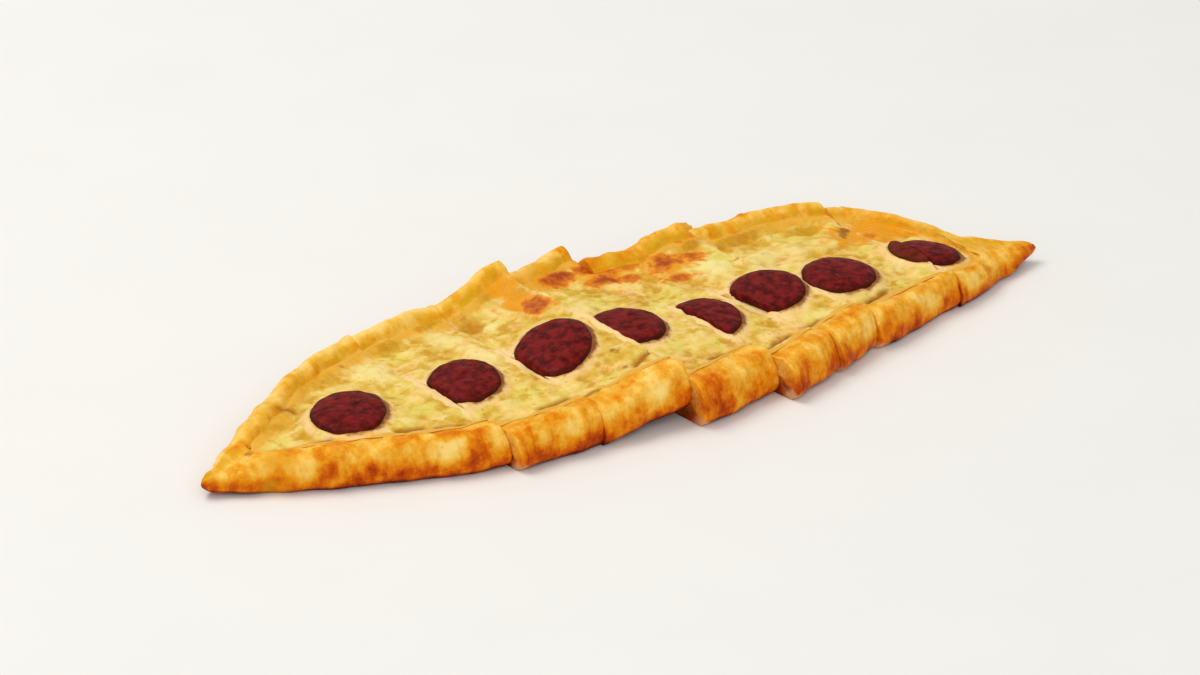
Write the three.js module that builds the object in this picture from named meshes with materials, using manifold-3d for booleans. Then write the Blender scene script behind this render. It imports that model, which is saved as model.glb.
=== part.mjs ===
// A Turkish pide, cut across into eight slices that still keep the loaf's boat shape.
// Each slice is a dough crust with a rolled rim, a layer of melted cheese that runs through
// to both cuts, and sucuk rounds lying on the cheese. Millimetres, +Z up, +X along the loaf
// to its narrow tail, +Y to its back rim, the flat underside on z = 0.
import * as THREE from 'three';
import { mergeVertices } from 'three/addons/utils/BufferGeometryUtils.js';
import Module from 'manifold-3d';

const wasm = await Module();
wasm.setup();

// ---------------------------------------------------------------- driving dimensions
const LEFT_TIP = -215;
const RIGHT_TIP = 216;
const KERF = 0.8; // width of a knife cut
const GAP = 0.45; // clearance kept between crust, cheese and sucuk
const FLOOR = 6.2; // thickness of the dough under the cheese
const RIM_WIDTH = 17; // rolled rim whose undercut and rounding are given below
const RIM_UNEVEN = 1.6; // how far the lip wanders
const CREST_UNEVEN = 0.8; // how far the top of the rim wanders
const SIDE_UNEVEN = 1; // how far the outer side of the rim wanders
const CRIMP = { pitch: 17, depth: 0.6, reach: 0.5, step: 5 }; // pinches along the left tip's rims
const CHEESE_DROP = 4.4; // cheese below the top of the rim
const CHEESE_CROWN = 1.2; // the cheese stands higher along the middle of the loaf
const CHEESE_DIP = 1.3; // deepest hollow in the cheese
const TOP_POINTS = 11; // points across the top of the cheese
const STATION_STEP = 7.5; // spacing of the cross-sections along a slice
const CAP_BOW = 1e-4; // bows level edges a little while a cut face is split into triangles

// Knife cuts from left to right: x where the cut meets y = 0, and the mm of x that it leans
// for each mm of y.
const CUTS = [
  { x: -99.5, lean: 0 },
  { x: -56, lean: 0.03 },
  { x: -13.4, lean: 0 },
  { x: 31, lean: -0.04 },
  { x: 60, lean: -0.13 },
  { x: 92, lean: -0.09 },
  { x: 154.5, lean: 0 },
];

// Slices from left to right. front and back are the y of the outer edges at the slice's left
// and right ends, crown how far those edges bow out halfway, rims the widths of the front and
// back rims at both ends, crest the height of the rims and lift how far each end is raised.
const SLICES = [
  {
    front: [25, -35], back: [26.5, 87], crown: [0, 0],
    rims: [[12.5, 16.5], [12.5, 19]], crest: [18.5, 19.6], lift: [0, 0],
  },
  {
    front: [-41.5, -45], back: [85.5, 87.5], crown: [0.8, 0.6],
    rims: [[16.5, 17], [19, 19]], crest: [18.4, 20.6], lift: [0, 0],
  },
  {
    front: [-46.5, -51], back: [87, 90.5], crown: [0.4, -0.8],
    rims: [[17, 17.5], [19, 18.5]], crest: [19.2, 22], lift: [0, 6.6],
  },
  {
    front: [-59.5, -55], back: [88.5, 96], crown: [1, -0.6],
    rims: [[18, 18.5], [18.5, 19.5]], crest: [21.8, 21.2], lift: [0, 0],
  },
  {
    front: [-66, -55.5], back: [81, 79], crown: [0.6, 1],
    rims: [[20.5, 18], [19, 19]], crest: [19.2, 19.4], lift: [0, 0],
  },
  {
    front: [-58.5, -49.5], back: [79.5, 82.5], crown: [0.6, 1],
    rims: [[18.5, 16.5], [19, 19.5]], crest: [19, 21], lift: [0, 0],
  },
  {
    front: [-51.5, -40.5], back: [75.5, 63], crown: [1.5, 6],
    rims: [[15.5, 10], [18.5, 17.5]], crest: [18.6, 17.8], lift: [0, 0],
  },
  {
    front: [-42.5, -27], back: [58, -25], crown: [1, 0],
    rims: [[10, 10], [17, 17]], crest: [17, 13.5], lift: [0, 0],
  },
];
const BACK_RISE = 1.3; // the back rim stands this much higher than the front rim

// Left tip: the slice narrows to a pinched point that curls up off the table.
const LEFT_FULLNESS = 1.35; // exponent of the edge from the point to the first cut
const LEFT_POINT = { crest: 9.5, curl: 2.6, reach: 0.22 };

// Right tip: the back rim turns round a shoulder and ends in a narrow pinched tail.
const SHOULDER = { y: -3, reach: 33, rise: 61 };
const TAIL = { y: 0.5, crest: 9.5, curl: 4.4 };
const POCKET = { y: -15, reach: 26.5, back: 55.5, front: 17.5 };

// Sucuk rounds, sliced slantwise and so a little longer one way: the slice that each lies on,
// its centre, its half-lengths across and along the slant, and its thickness in the middle.
// Rounds that reach past a cut are cut off there.
const SLANT = THREE.MathUtils.degToRad(50);
const ROUNDS = [
  { name: 'sucuk_1', slice: 0, x: -142, y: 21.6, across: 16.4, along: 19.2, thick: 4.2 },
  { name: 'sucuk_2', slice: 1, x: -86.5, y: 13.8, across: 16.4, along: 18.8, thick: 4.2 },
  { name: 'sucuk_3', slice: 2, x: -40.6, y: 9.4, across: 16.9, along: 21.4, thick: 5 },
  { name: 'sucuk_4', slice: 3, x: -1.5, y: 6.8, across: 16.8, along: 18.6, thick: 4 },
  { name: 'sucuk_5', slice: 4, x: 33.2, y: -4.9, across: 17, along: 19, thick: 4 },
  { name: 'sucuk_6', slice: 5, x: 73, y: -1.8, across: 16.9, along: 19.6, thick: 4.5 },
  { name: 'sucuk_7', slice: 6, x: 111, y: -7.2, across: 16.8, along: 18, thick: 4.4 },
  { name: 'sucuk_8_left', slice: 6, x: 159.5, y: -8.6, across: 14.6, along: 13.6, thick: 4 },
  { name: 'sucuk_8_right', slice: 7, x: 160.5, y: -12.2, across: 15.4, along: 14, thick: 4.4 },
];
const ROUND_SIDES = 28;
const ROUND_EDGE = 2.4; // thickness at the edge
const ROUND_CLEAR = 9; // how far round a sucuk the cheese stays level

// ---------------------------------------------------------------- small helpers
const lerp = THREE.MathUtils.lerp;
const clamp = THREE.MathUtils.clamp;
const smooth = (value, low, high) => THREE.MathUtils.smoothstep(value, low, high);

// Smooth uneven wave between -1 and 1 from a few sines; seed shifts it.
function wave(a, b, seed) {
  const first = Math.sin(a * 0.113 + b * 0.071 + seed * 1.7);
  const second = Math.sin(a * 0.257 - b * 0.181 + seed * 2.9 + 1.3);
  const third = Math.sin(a * 0.431 + b * 0.337 + seed * 4.3 + 2.1);
  return 0.5 * first + 0.32 * second + 0.18 * third;
}

// ---------------------------------------------------------------- outline of a slice
function cutAt(index, side) {
  const cut = CUTS[side === 'left' ? index - 1 : index];
  if (cut) return cut;
  return { x: side === 'left' ? LEFT_TIP : RIGHT_TIP, lean: 0 };
}

function sliceX(index, s, y) {
  const left = cutAt(index, 'left');
  const right = cutAt(index, 'right');
  const x0 = left.x + left.lean * y + (index > 0 ? KERF / 2 : 0);
  const x1 = right.x + right.lean * y - (index < SLICES.length - 1 ? KERF / 2 : 0);
  return lerp(x0, x1, s);
}

function plainEdges(slice, s) {
  const bow = 4 * s * (1 - s);
  return {
    front: lerp(slice.front[0], slice.front[1], s) - slice.crown[0] * bow,
    back: lerp(slice.back[0], slice.back[1], s) + slice.crown[1] * bow,
    crest: lerp(slice.crest[0], slice.crest[1], s),
    rims: slice.rims.map(([left, right]) => lerp(left, right, s)),
    curl: 0,
  };
}

function leftTipEdges(slice, s) {
  const full = 1 - (1 - s) ** LEFT_FULLNESS;
  const grown = smooth(s, 0, 0.4);
  const fade = smooth(s, 0.02, 0.1) * (1 - smooth(s, CRIMP.reach * 0.5, CRIMP.reach));
  const turn = 2 * Math.PI * sliceX(0, s, 0) / CRIMP.pitch;
  const crimp = CRIMP.depth * fade * Math.sin(turn);
  return {
    front: lerp(slice.front[0], slice.front[1], full) - crimp * 0.8,
    back: lerp(slice.back[0], slice.back[1], full) + crimp * 0.5,
    crest: lerp(LEFT_POINT.crest, lerp(slice.crest[0], slice.crest[1], s), grown) + crimp,
    rims: slice.rims.map(([left, right]) => lerp(left, right, grown)),
    curl: LEFT_POINT.curl * (1 - smooth(s, 0, LEFT_POINT.reach)),
  };
}

function rightTipEdges(slice, s) {
  const length = RIGHT_TIP - cutAt(SLICES.length - 1, 'left').x;
  const run = length * s;
  const turn = Math.sqrt(Math.max(0, 1 - (run / SHOULDER.reach) ** 2));
  const shoulder = SHOULDER.y + SHOULDER.rise * turn;
  const past = clamp((run - SHOULDER.reach) / (length - SHOULDER.reach), 0, 1);
  const tail = lerp(TAIL.y, slice.back[1], past);
  const edges = plainEdges(slice, s);
  edges.back = past > 0 ? tail : Math.max(shoulder, TAIL.y);
  edges.curl = TAIL.curl * smooth(past, 0.1, 1);
  edges.crest = lerp(lerp(slice.crest[0], slice.crest[1], clamp(run / SHOULDER.reach, 0, 1)),
    TAIL.crest, smooth(run, SHOULDER.reach - 6, SHOULDER.reach + 14));
  const mouth = Math.sqrt(Math.max(0, 1 - (run / POCKET.reach) ** 2));
  edges.pocket = {
    back: POCKET.y + POCKET.back * mouth,
    front: POCKET.y - POCKET.front * mouth,
  };
  return edges;
}

// Everything that one cross-section needs: outer edges, inner edges, crest, cheese and floor.
function station(index, s) {
  const slice = SLICES[index];
  const last = SLICES.length - 1;
  let edges = plainEdges(slice, s);
  if (index === 0) edges = leftTipEdges(slice, s);
  if (index === last) edges = rightTipEdges(slice, s);
  const x = sliceX(index, s, 0);
  const width = edges.back - edges.front;
  const front = edges.front + SIDE_UNEVEN * wave(x, 0, 3) * smooth(width, 10, 40);
  const back = edges.back + SIDE_UNEVEN * wave(x, 40, 5) * smooth(width, 10, 40);
  const middle = (front + back) / 2;
  let innerFront = front + edges.rims[0] + RIM_UNEVEN * wave(x, 9, 7) * smooth(edges.rims[0], 9, 16);
  let innerBack = back - edges.rims[1] - RIM_UNEVEN * wave(x, 23, 11);
  if (edges.pocket) {
    const ease = smooth(s, 0, 0.12);
    innerFront = lerp(innerFront, edges.pocket.front, ease);
    innerBack = lerp(innerBack, edges.pocket.back, ease);
  }
  const least = Math.min(0.8, width * 0.12);
  const open = smooth((innerBack - innerFront) / 2, least, 9);
  if (innerBack - innerFront < 2 * least) {
    const seam = edges.pocket ? clamp(POCKET.y, front + width * 0.35, back - width * 0.35) : middle;
    innerFront = seam - least;
    innerBack = seam + least;
  }
  const { crest, curl } = edges;
  const cheese = crest - lerp(2, CHEESE_DROP, open);
  const floor = lerp(crest - 3.2, FLOOR, open);
  return { x, front, back, innerFront, innerBack, crest, cheese, floor, open, curl };
}

function lift(index, s) {
  return lerp(SLICES[index].lift[0], SLICES[index].lift[1], s);
}

// ---------------------------------------------------------------- cross-sections
// One side of the crust, from its bottom edge over the rolled rim and its lip down to the
// floor, as [distance in from the outer edge, height].
function rimProfile(st, width, rise, seed) {
  const { cheese, floor, curl } = st;
  const k = Math.min(width / RIM_WIDTH, 1.15);
  const full = clamp(width / 10, 0, 1);
  const top = st.crest + (rise + CREST_UNEVEN * wave(st.x, 0, seed)) * full;
  const side = top - curl;
  const deep = cheese - floor;
  return [
    [3.2 * k, curl],
    [1 * k, curl + side * 0.1],
    [0, curl + side * 0.27],
    [1.1 * k, curl + side * 0.54],
    [3.6 * k, curl + side * 0.79],
    [7 * k, curl + side * 0.95],
    [width * 0.54, top],
    [width * 0.75, lerp(top, cheese + 2.2, 0.4)],
    [width * 0.9, cheese + 1.7],
    [width, cheese + 0.95],
    [width - 0.8 * k, cheese + 0.35],
    [width - 3.4 * k, cheese - 0.3 * clamp(deep / 4, 0, 1)],
    [width - 4.2 * k, cheese - deep * 0.32],
    [width - 2.2 * k, floor + deep * 0.16],
    [width + 1.4 * k, floor],
  ];
}

function rimSides(st) {
  return {
    front: rimProfile(st, st.innerFront - st.front, 0, 13),
    back: rimProfile(st, st.back - st.innerBack, BACK_RISE, 17),
  };
}

function crustSection(st) {
  const sides = rimSides(st);
  const front = sides.front.map(([d, z]) => [st.front + d, z]);
  const back = sides.back.map(([d, z]) => [st.back - d, z]).reverse();
  const middle = (st.innerFront + st.innerBack) / 2;
  return [...front, [middle, st.floor], ...back, [(st.front + st.back) / 2, st.curl]];
}

// Moves an open chain of points sideways by a distance, keeping its corners mitred.
function offsetChain(chain, distance) {
  return chain.map((point, i) => {
    const before = chain[Math.max(i - 1, 0)];
    const after = chain[Math.min(i + 1, chain.length - 1)];
    const a = new THREE.Vector2(point[0] - before[0], point[1] - before[1]);
    const b = new THREE.Vector2(after[0] - point[0], after[1] - point[1]);
    if (i === 0) a.copy(b);
    if (i === chain.length - 1) b.copy(a);
    a.normalize();
    b.normalize();
    const normal = new THREE.Vector2(-(a.y + b.y), a.x + b.x).normalize();
    const mitre = Math.max(0.5, Math.sqrt((1 + a.dot(b)) / 2));
    return [point[0] + normal.x * distance / mitre, point[1] + normal.y * distance / mitre];
  });
}

// How far the cheese may dip at a place: nothing under and just round a sucuk.
function cheeseFreedom(x, y) {
  let free = 1;
  for (const round of ROUNDS) {
    const out = Math.hypot(x - round.x, y - round.y) - round.along;
    free = Math.min(free, smooth(out, 2, ROUND_CLEAR));
  }
  return free;
}

// The level that the cheese reaches without its hollows, higher along the middle.
function cheeseLevel(st, y) {
  const half = Math.max((st.innerBack - st.innerFront) / 2, 1);
  const out = clamp((y - (st.innerBack + st.innerFront) / 2) / half, -1, 1);
  return st.cheese + CHEESE_CROWN * st.open * (1 - out * out);
}

function cheeseTop(st, y) {
  const dip = CHEESE_DIP * (0.5 + 0.5 * wave(st.x, y * 1.3, 19));
  return cheeseLevel(st, y) - dip * cheeseFreedom(st.x, y) * st.open;
}

function cheeseSection(st) {
  const sides = rimSides(st);
  const front = sides.front.slice(10).map(([d, z]) => [st.front + d, z]);
  const back = sides.back.slice(10).map(([d, z]) => [st.back - d, z]).reverse();
  const middle = [(st.innerFront + st.innerBack) / 2, st.floor];
  const chain = offsetChain([...front, middle, ...back], GAP);
  const start = chain[chain.length - 1];
  const end = chain[0];
  const top = [];
  for (let i = 1; i <= TOP_POINTS; i += 1) {
    const y = lerp(start[0], end[0], i / (TOP_POINTS + 1));
    top.push([y, cheeseTop(st, y)]);
  }
  return [...chain, ...top];
}

// ---------------------------------------------------------------- solids
// Splits a cut face into triangles that run the same way round as its outline.
function capFaces(contour) {
  const faces = THREE.ShapeUtils.triangulateShape(contour, []);
  const outline = Math.sign(THREE.ShapeUtils.area(contour));
  const first = faces[0].map((i) => contour[i]);
  if (Math.sign(THREE.ShapeUtils.area(first)) === outline) return faces;
  return faces.map(([a, b, c]) => [a, c, b]);
}

// Joins like-numbered points of neighbouring sections and closes both ends.
function loft(rings, contours) {
  const count = rings[0].length;
  const index = [];
  for (let r = 0; r + 1 < rings.length; r += 1) {
    for (let i = 0; i < count; i += 1) {
      const j = (i + 1) % count;
      const a = r * count + i;
      const b = r * count + j;
      index.push(a, b, b + count, a, b + count, a + count);
    }
  }
  const near = capFaces(contours[0]);
  const far = capFaces(contours[1]);
  const base = (rings.length - 1) * count;
  for (const [a, b, c] of near) index.push(a, c, b);
  for (const [a, b, c] of far) index.push(base + a, base + b, base + c);
  const geometry = new THREE.BufferGeometry();
  geometry.setAttribute('position', new THREE.Float32BufferAttribute(rings.flat(2), 3));
  geometry.setIndex(index);
  return outward(geometry);
}

function signedVolume(geometry) {
  const p = geometry.attributes.position;
  const index = geometry.index.array;
  const [a, b, c] = [new THREE.Vector3(), new THREE.Vector3(), new THREE.Vector3()];
  let sum = 0;
  for (let i = 0; i < index.length; i += 3) {
    a.fromBufferAttribute(p, index[i]);
    b.fromBufferAttribute(p, index[i + 1]);
    c.fromBufferAttribute(p, index[i + 2]);
    sum += a.dot(b.cross(c)) / 6;
  }
  return sum;
}

function outward(geometry) {
  if (signedVolume(geometry) < 0) {
    const index = geometry.index.array;
    for (let i = 0; i < index.length; i += 3) {
      [index[i + 1], index[i + 2]] = [index[i + 2], index[i + 1]];
    }
  }
  geometry.computeVertexNormals();
  return geometry;
}

function stationsOf(index, from, to, step = STATION_STEP) {
  const length = sliceX(index, to, 0) - sliceX(index, from, 0);
  const steps = Math.max(3, Math.round(length / step));
  return Array.from({ length: steps + 1 }, (_, i) => lerp(from, to, i / steps));
}

// Cross-sections along a slice, closer together where a tip changes fast.
function crustStations(index) {
  const last = SLICES.length - 1;
  if (index === 0) {
    const crimped = stationsOf(0, 0.06, CRIMP.reach, CRIMP.step);
    return [0, 0.02, ...crimped, ...stationsOf(0, CRIMP.reach, 1).slice(1)];
  }
  if (index === last) {
    const turn = SHOULDER.reach / (RIGHT_TIP - cutAt(last, 'left').x);
    const bend = [0, 0.22, 0.42, 0.6, 0.74, 0.84, 0.91, 0.96, 0.99, 1].map((f) => f * turn);
    return [...bend, ...stationsOf(last, turn + 0.05, 0.985), 1];
  }
  return stationsOf(index, 0, 1);
}

function cheeseStations(index) {
  return crustStations(index).filter((s) => station(index, s).open > 0.3);
}

function place(index, s, y, z) {
  return [sliceX(index, s, y), y, z + lift(index, s)];
}

function sweep(index, params, section) {
  const flat = params.map((s) => section(station(index, s)));
  const rings = flat.map((points, r) => points.map(([y, z]) => place(index, params[r], y, z)));
  const contour = (points) => points.map(([y, z]) => new THREE.Vector2(y, z + CAP_BOW * y * y));
  return loft(rings, [contour(flat[0]), contour(flat[flat.length - 1])]);
}

// ---------------------------------------------------------------- sucuk
function toSolid(geometry) {
  const bare = geometry.clone();
  bare.deleteAttribute('normal');
  bare.deleteAttribute('uv');
  const merged = mergeVertices(bare, 1e-4);
  const vertProperties = new Float32Array(merged.attributes.position.array);
  const triVerts = new Uint32Array(merged.index.array);
  return new wasm.Manifold(new wasm.Mesh({ numProp: 3, vertProperties, triVerts }));
}

function fromSolid(solid) {
  const mesh = solid.getMesh();
  const geometry = new THREE.BufferGeometry();
  geometry.setAttribute('position', new THREE.Float32BufferAttribute(mesh.vertProperties, 3));
  geometry.setIndex(new THREE.BufferAttribute(new Uint32Array(mesh.triVerts), 1));
  geometry.computeVertexNormals();
  return geometry;
}

// A round with a level underside, a soft edge and a domed top, before it is bent to the cheese.
function roundBlank(round) {
  const { thick } = round;
  const profile = [
    [0, 0],
    [0.94, 0],
    [1, ROUND_EDGE * 0.45],
    [0.95, ROUND_EDGE],
    [0.72, lerp(ROUND_EDGE, thick, 0.72)],
    [0.4, lerp(ROUND_EDGE, thick, 0.95)],
    [0, thick],
  ].map(([r, z]) => new THREE.Vector2(r, z));
  const geometry = new THREE.LatheGeometry(profile, ROUND_SIDES);
  geometry.rotateX(Math.PI / 2);
  const p = geometry.attributes.position;
  for (let i = 0; i < p.count; i += 1) {
    const turn = Math.atan2(p.getY(i), p.getX(i));
    const uneven = 1 + 0.02 * Math.sin(2 * turn + round.x) + 0.014 * Math.sin(3 * turn + round.y);
    p.setXYZ(i, p.getX(i) * round.along * uneven, p.getY(i) * round.across * uneven, p.getZ(i));
  }
  geometry.rotateZ(SLANT);
  return geometry;
}

// A big block beyond a cut, for cutting off what reaches past it.
function beyondCut(cut, side) {
  const size = 120;
  const block = new THREE.BoxGeometry(size, size, size);
  const sign = side === 'left' ? -1 : 1;
  block.translate(sign * (size / 2 - KERF / 2), 0, 0);
  const p = block.attributes.position;
  for (let i = 0; i < p.count; i += 1) {
    p.setX(i, p.getX(i) + cut.x + cut.lean * p.getY(i));
  }
  return toSolid(block);
}

function fractionAt(index, x, y) {
  const x0 = sliceX(index, 0, y);
  const x1 = sliceX(index, 1, y);
  return clamp((x - x0) / (x1 - x0), 0, 1);
}

function sucukGeometry(round) {
  const blank = roundBlank(round);
  blank.translate(round.x, round.y, 0);
  let solid = toSolid(blank);
  if (round.slice > 0) solid = solid.subtract(beyondCut(cutAt(round.slice, 'left'), 'left'));
  if (round.slice < SLICES.length - 1) {
    solid = solid.subtract(beyondCut(cutAt(round.slice, 'right'), 'right'));
  }
  const geometry = fromSolid(solid);
  const p = geometry.attributes.position;
  for (let i = 0; i < p.count; i += 1) {
    const s = fractionAt(round.slice, p.getX(i), p.getY(i));
    const bed = cheeseLevel(station(round.slice, s), p.getY(i)) + lift(round.slice, s);
    p.setZ(i, p.getZ(i) + bed + GAP);
  }
  geometry.computeVertexNormals();
  return geometry;
}

// ---------------------------------------------------------------- materials
function crustMaterial(index) {
  const tint = new THREE.Color('#d9952f').offsetHSL(0, 0, 0.012 * wave(index * 30, 0, 2));
  return new THREE.MeshStandardMaterial({ color: tint, roughness: 0.62, metalness: 0 });
}

function cheeseMaterial(index) {
  const tint = new THREE.Color('#efd892').offsetHSL(0, 0, 0.01 * wave(index * 30, 9, 4));
  return new THREE.MeshStandardMaterial({ color: tint, roughness: 0.5, metalness: 0 });
}

function sucukMaterial() {
  return new THREE.MeshStandardMaterial({ color: '#5a1a1c', roughness: 0.45, metalness: 0 });
}

// ---------------------------------------------------------------- assembly
// Puts a piece's own origin at the middle of its underside and the mesh back in its place.
function pieceMesh(name, geometry, material) {
  geometry.computeBoundingBox();
  const box = geometry.boundingBox;
  const foot = new THREE.Vector3((box.min.x + box.max.x) / 2, (box.min.y + box.max.y) / 2, box.min.z);
  geometry.translate(-foot.x, -foot.y, -foot.z);
  const mesh = new THREE.Mesh(geometry, material);
  mesh.name = name;
  mesh.position.copy(foot);
  return mesh;
}

function sliceGroup(index) {
  const group = new THREE.Group();
  const number = index + 1;
  const crust = sweep(index, crustStations(index), crustSection);
  const cheese = sweep(index, cheeseStations(index), cheeseSection);
  group.add(pieceMesh(`crust_${number}`, crust, crustMaterial(index)));
  group.add(pieceMesh(`cheese_${number}`, cheese, cheeseMaterial(index)));
  for (const round of ROUNDS.filter((item) => item.slice === index)) {
    group.add(pieceMesh(round.name, sucukGeometry(round), sucukMaterial()));
  }
  return group;
}

const pide = new THREE.Group();
const loaf = new THREE.Group();
SLICES.forEach((_, index) => loaf.add(sliceGroup(index)));
const bounds = new THREE.Box3().setFromObject(loaf);
const centre = bounds.getCenter(new THREE.Vector3());
loaf.position.set(-centre.x, -centre.y, -bounds.min.z);
pide.add(loaf);

export default pide;
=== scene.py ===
"""Looks of a Turkish pide with sucuk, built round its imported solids.

The loaf is worked out in millimetres in its own frame: +X along the loaf to its narrow tail,
+Y to its back rim, the underside on z = 0. to_frame() turns that into metres in the frame
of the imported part. Each crust, each layer of cheese and each sucuk gets a fine mesh of the
same form as its solid, with the relief, browning and melt that the solid leaves out.
"""

import functools
import itertools
import math
from types import SimpleNamespace

import bpy
import numpy as np
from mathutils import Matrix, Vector
from mathutils.geometry import delaunay_2d_cdt


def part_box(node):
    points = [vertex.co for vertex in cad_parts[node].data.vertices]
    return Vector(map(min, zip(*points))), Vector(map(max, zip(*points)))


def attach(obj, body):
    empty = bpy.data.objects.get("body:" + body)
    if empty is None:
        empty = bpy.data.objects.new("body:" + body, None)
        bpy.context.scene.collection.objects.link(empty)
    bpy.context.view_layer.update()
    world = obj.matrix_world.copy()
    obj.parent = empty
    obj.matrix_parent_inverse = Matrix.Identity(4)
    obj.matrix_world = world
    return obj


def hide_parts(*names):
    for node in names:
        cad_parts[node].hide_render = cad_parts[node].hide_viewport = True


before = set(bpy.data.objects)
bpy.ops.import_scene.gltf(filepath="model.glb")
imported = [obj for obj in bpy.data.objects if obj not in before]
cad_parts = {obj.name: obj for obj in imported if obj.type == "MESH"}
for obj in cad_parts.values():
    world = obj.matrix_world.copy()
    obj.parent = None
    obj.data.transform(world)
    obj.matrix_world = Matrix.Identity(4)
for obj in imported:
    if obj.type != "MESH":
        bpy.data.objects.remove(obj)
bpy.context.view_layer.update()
MM = 0.001

# ---------------- driving sizes, in mm
LEFT_TIP = -215.0
RIGHT_TIP = 216.0
KERF = 0.12  # width of a knife cut where the pieces show, narrower than between the solids
GAP = 0.45  # clearance between the solids of crust, cheese and sucuk
TOUCH = 0.08  # what is left of that clearance between the pieces that show
FLOOR = 6.2  # thickness of the dough under the cheese
RIM_WIDTH = 17.0  # width of a rim for which the sizes in rim_profile() hold as they are
RIM_UNEVEN = 1.6  # how far the lip wanders
CREST_UNEVEN = 0.8  # how far the top of the rim rises and falls
SIDE_UNEVEN = 1.0  # how far the outer side of the rim wanders
CRIMP = SimpleNamespace(pitch=17.0, depth=0.6, reach=0.5)  # pinches along the left tip's rims
CHEESE_DROP = 4.4  # from the top of the rim down to the cheese
CHEESE_CROWN = 1.2  # how much higher the cheese stands along its middle
CHEESE_DIP = 1.3  # deepest hollow in the cheese's solid
CHEESE_ENDS = 0.22  # how open the pocket is where the cheese ends, from 0 to 1
BACK_RISE = 1.3  # how much higher the back rim is than the front rim
ROW_STEP = 0.8  # spacing of the mesh rows along the loaf
CRUST_GRID = 1.15  # spacing of the points in a cut face of the crust
CHEESE_GRID = 1.4  # and in one of the cheese
SHARP_EDGE = math.radians(48)  # a mesh edge bent more than this isn't shaded smooth
FAR = 1e3  # stands for a distance from something that a slice doesn't have
CUT_ROWS = (0.0, 0.06, 0.2, 0.45, 0.85, 1.4, 2.1)  # rows that round an edge at a knife cut
CHEESE_ROUND = SimpleNamespace(reach=0.5, depth=0.5)  # how a cut edge of the cheese is rounded
CRUST_ROUND = SimpleNamespace(reach=1.4, depth=0.36)  # and one of the crust
TIP_ROUND = 4.5  # length of the rounded nose at each end of the loaf
CREASE = 0.9  # depth of the crease where the two rims meet
SPILL = SimpleNamespace(out=1.8, height=1.7, reach=1.9)  # how the cheese's edges run onto the lips
FLATTER = 1.7  # how much lower the baked front rim is along its top than its solid
CRACK = SimpleNamespace(wide=1.5, deep=0.9)  # the crevices in the rims and beside them, grooved and darkened with painted shade

# Knife cuts: x at y = 0 and the mm of x gained for each mm of y.
CUTS = [
    (-99.5, 0.0), (-56.0, 0.03), (-13.4, 0.0), (31.0, -0.04), (60.0, -0.13), (92.0, -0.09), (154.5, 0.0),
]


def slice_sizes(front, back, crown, rims, crest, lift):
    """Sizes of one slice, each as its value at the left and at the right end."""
    return SimpleNamespace(front=front, back=back, crown=crown, rims=rims, crest=crest, lift=lift)


SLICES = [
    slice_sizes((25, -35), (26.5, 87), (0, 0), ((12.5, 16.5), (12.5, 19)), (18.5, 19.6), (0, 0)),
    slice_sizes((-41.5, -45), (85.5, 87.5), (0.8, 0.6), ((16.5, 17), (19, 19)), (18.4, 20.6), (0, 0)),
    slice_sizes((-46.5, -51), (87, 90.5), (0.4, -0.8), ((17, 17.5), (19, 18.5)), (19.2, 22), (0, 6.6)),
    slice_sizes((-59.5, -55), (88.5, 96), (1, -0.6), ((18, 18.5), (18.5, 19.5)), (21.8, 21.2), (0, 0)),
    slice_sizes((-66, -55.5), (81, 79), (0.6, 1), ((20.5, 18), (19, 19)), (19.2, 19.4), (0, 0)),
    slice_sizes((-58.5, -49.5), (79.5, 82.5), (0.6, 1), ((18.5, 16.5), (19, 19.5)), (19, 21), (0, 0)),
    slice_sizes((-51.5, -40.5), (75.5, 63), (1.5, 6), ((15.5, 10), (18.5, 17.5)), (18.6, 17.8), (0, 0)),
    slice_sizes((-42.5, -27), (58, -25), (1, 0), ((10, 10), (17, 17)), (17, 13.5), (0, 0)),
]
LAST = len(SLICES) - 1
LEFT_FULLNESS = 1.35  # exponent of the edge from the left point to the first cut
LEFT_POINT = SimpleNamespace(crest=9.5, curl=2.6, reach=0.22)
SHOULDER = SimpleNamespace(y=-3.0, reach=33.0, rise=61.0)
TAIL = SimpleNamespace(y=0.5, crest=9.5, curl=4.4)
POCKET = SimpleNamespace(y=-15.0, reach=26.5, back=55.5, front=17.5)

SLANT = math.radians(50)  # the way in which the sucuk rounds are longer


def sucuk_round(name, piece, x, y, across, along, thick):
    """A sucuk round: the slice it lies on, its centre, half-lengths and thickness."""
    return SimpleNamespace(name=name, slice=piece, x=x, y=y, across=across, along=along, thick=thick)


ROUNDS = [
    sucuk_round("sucuk_1", 0, -142, 21.6, 16.4, 19.2, 4.2),
    sucuk_round("sucuk_2", 1, -86.5, 13.8, 16.4, 18.8, 4.2),
    sucuk_round("sucuk_3", 2, -40.6, 9.4, 16.9, 21.4, 5),
    sucuk_round("sucuk_4", 3, -1.5, 6.8, 16.8, 18.6, 4),
    sucuk_round("sucuk_5", 4, 33.2, -4.9, 17, 19, 4),
    sucuk_round("sucuk_6", 5, 73, -1.8, 16.9, 19.6, 4.5),
    sucuk_round("sucuk_7", 6, 111, -7.2, 16.8, 18, 4.4),
    sucuk_round("sucuk_8_left", 6, 159.5, -8.6, 14.6, 13.6, 4),
    sucuk_round("sucuk_8_right", 7, 160.5, -12.2, 15.4, 14, 4.4),
]
ROUND_EDGE = 2.4  # thickness of a round near its edge
ROUND_CLEAR = 9.0  # this far from a sucuk the cheese has its full hollows

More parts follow.
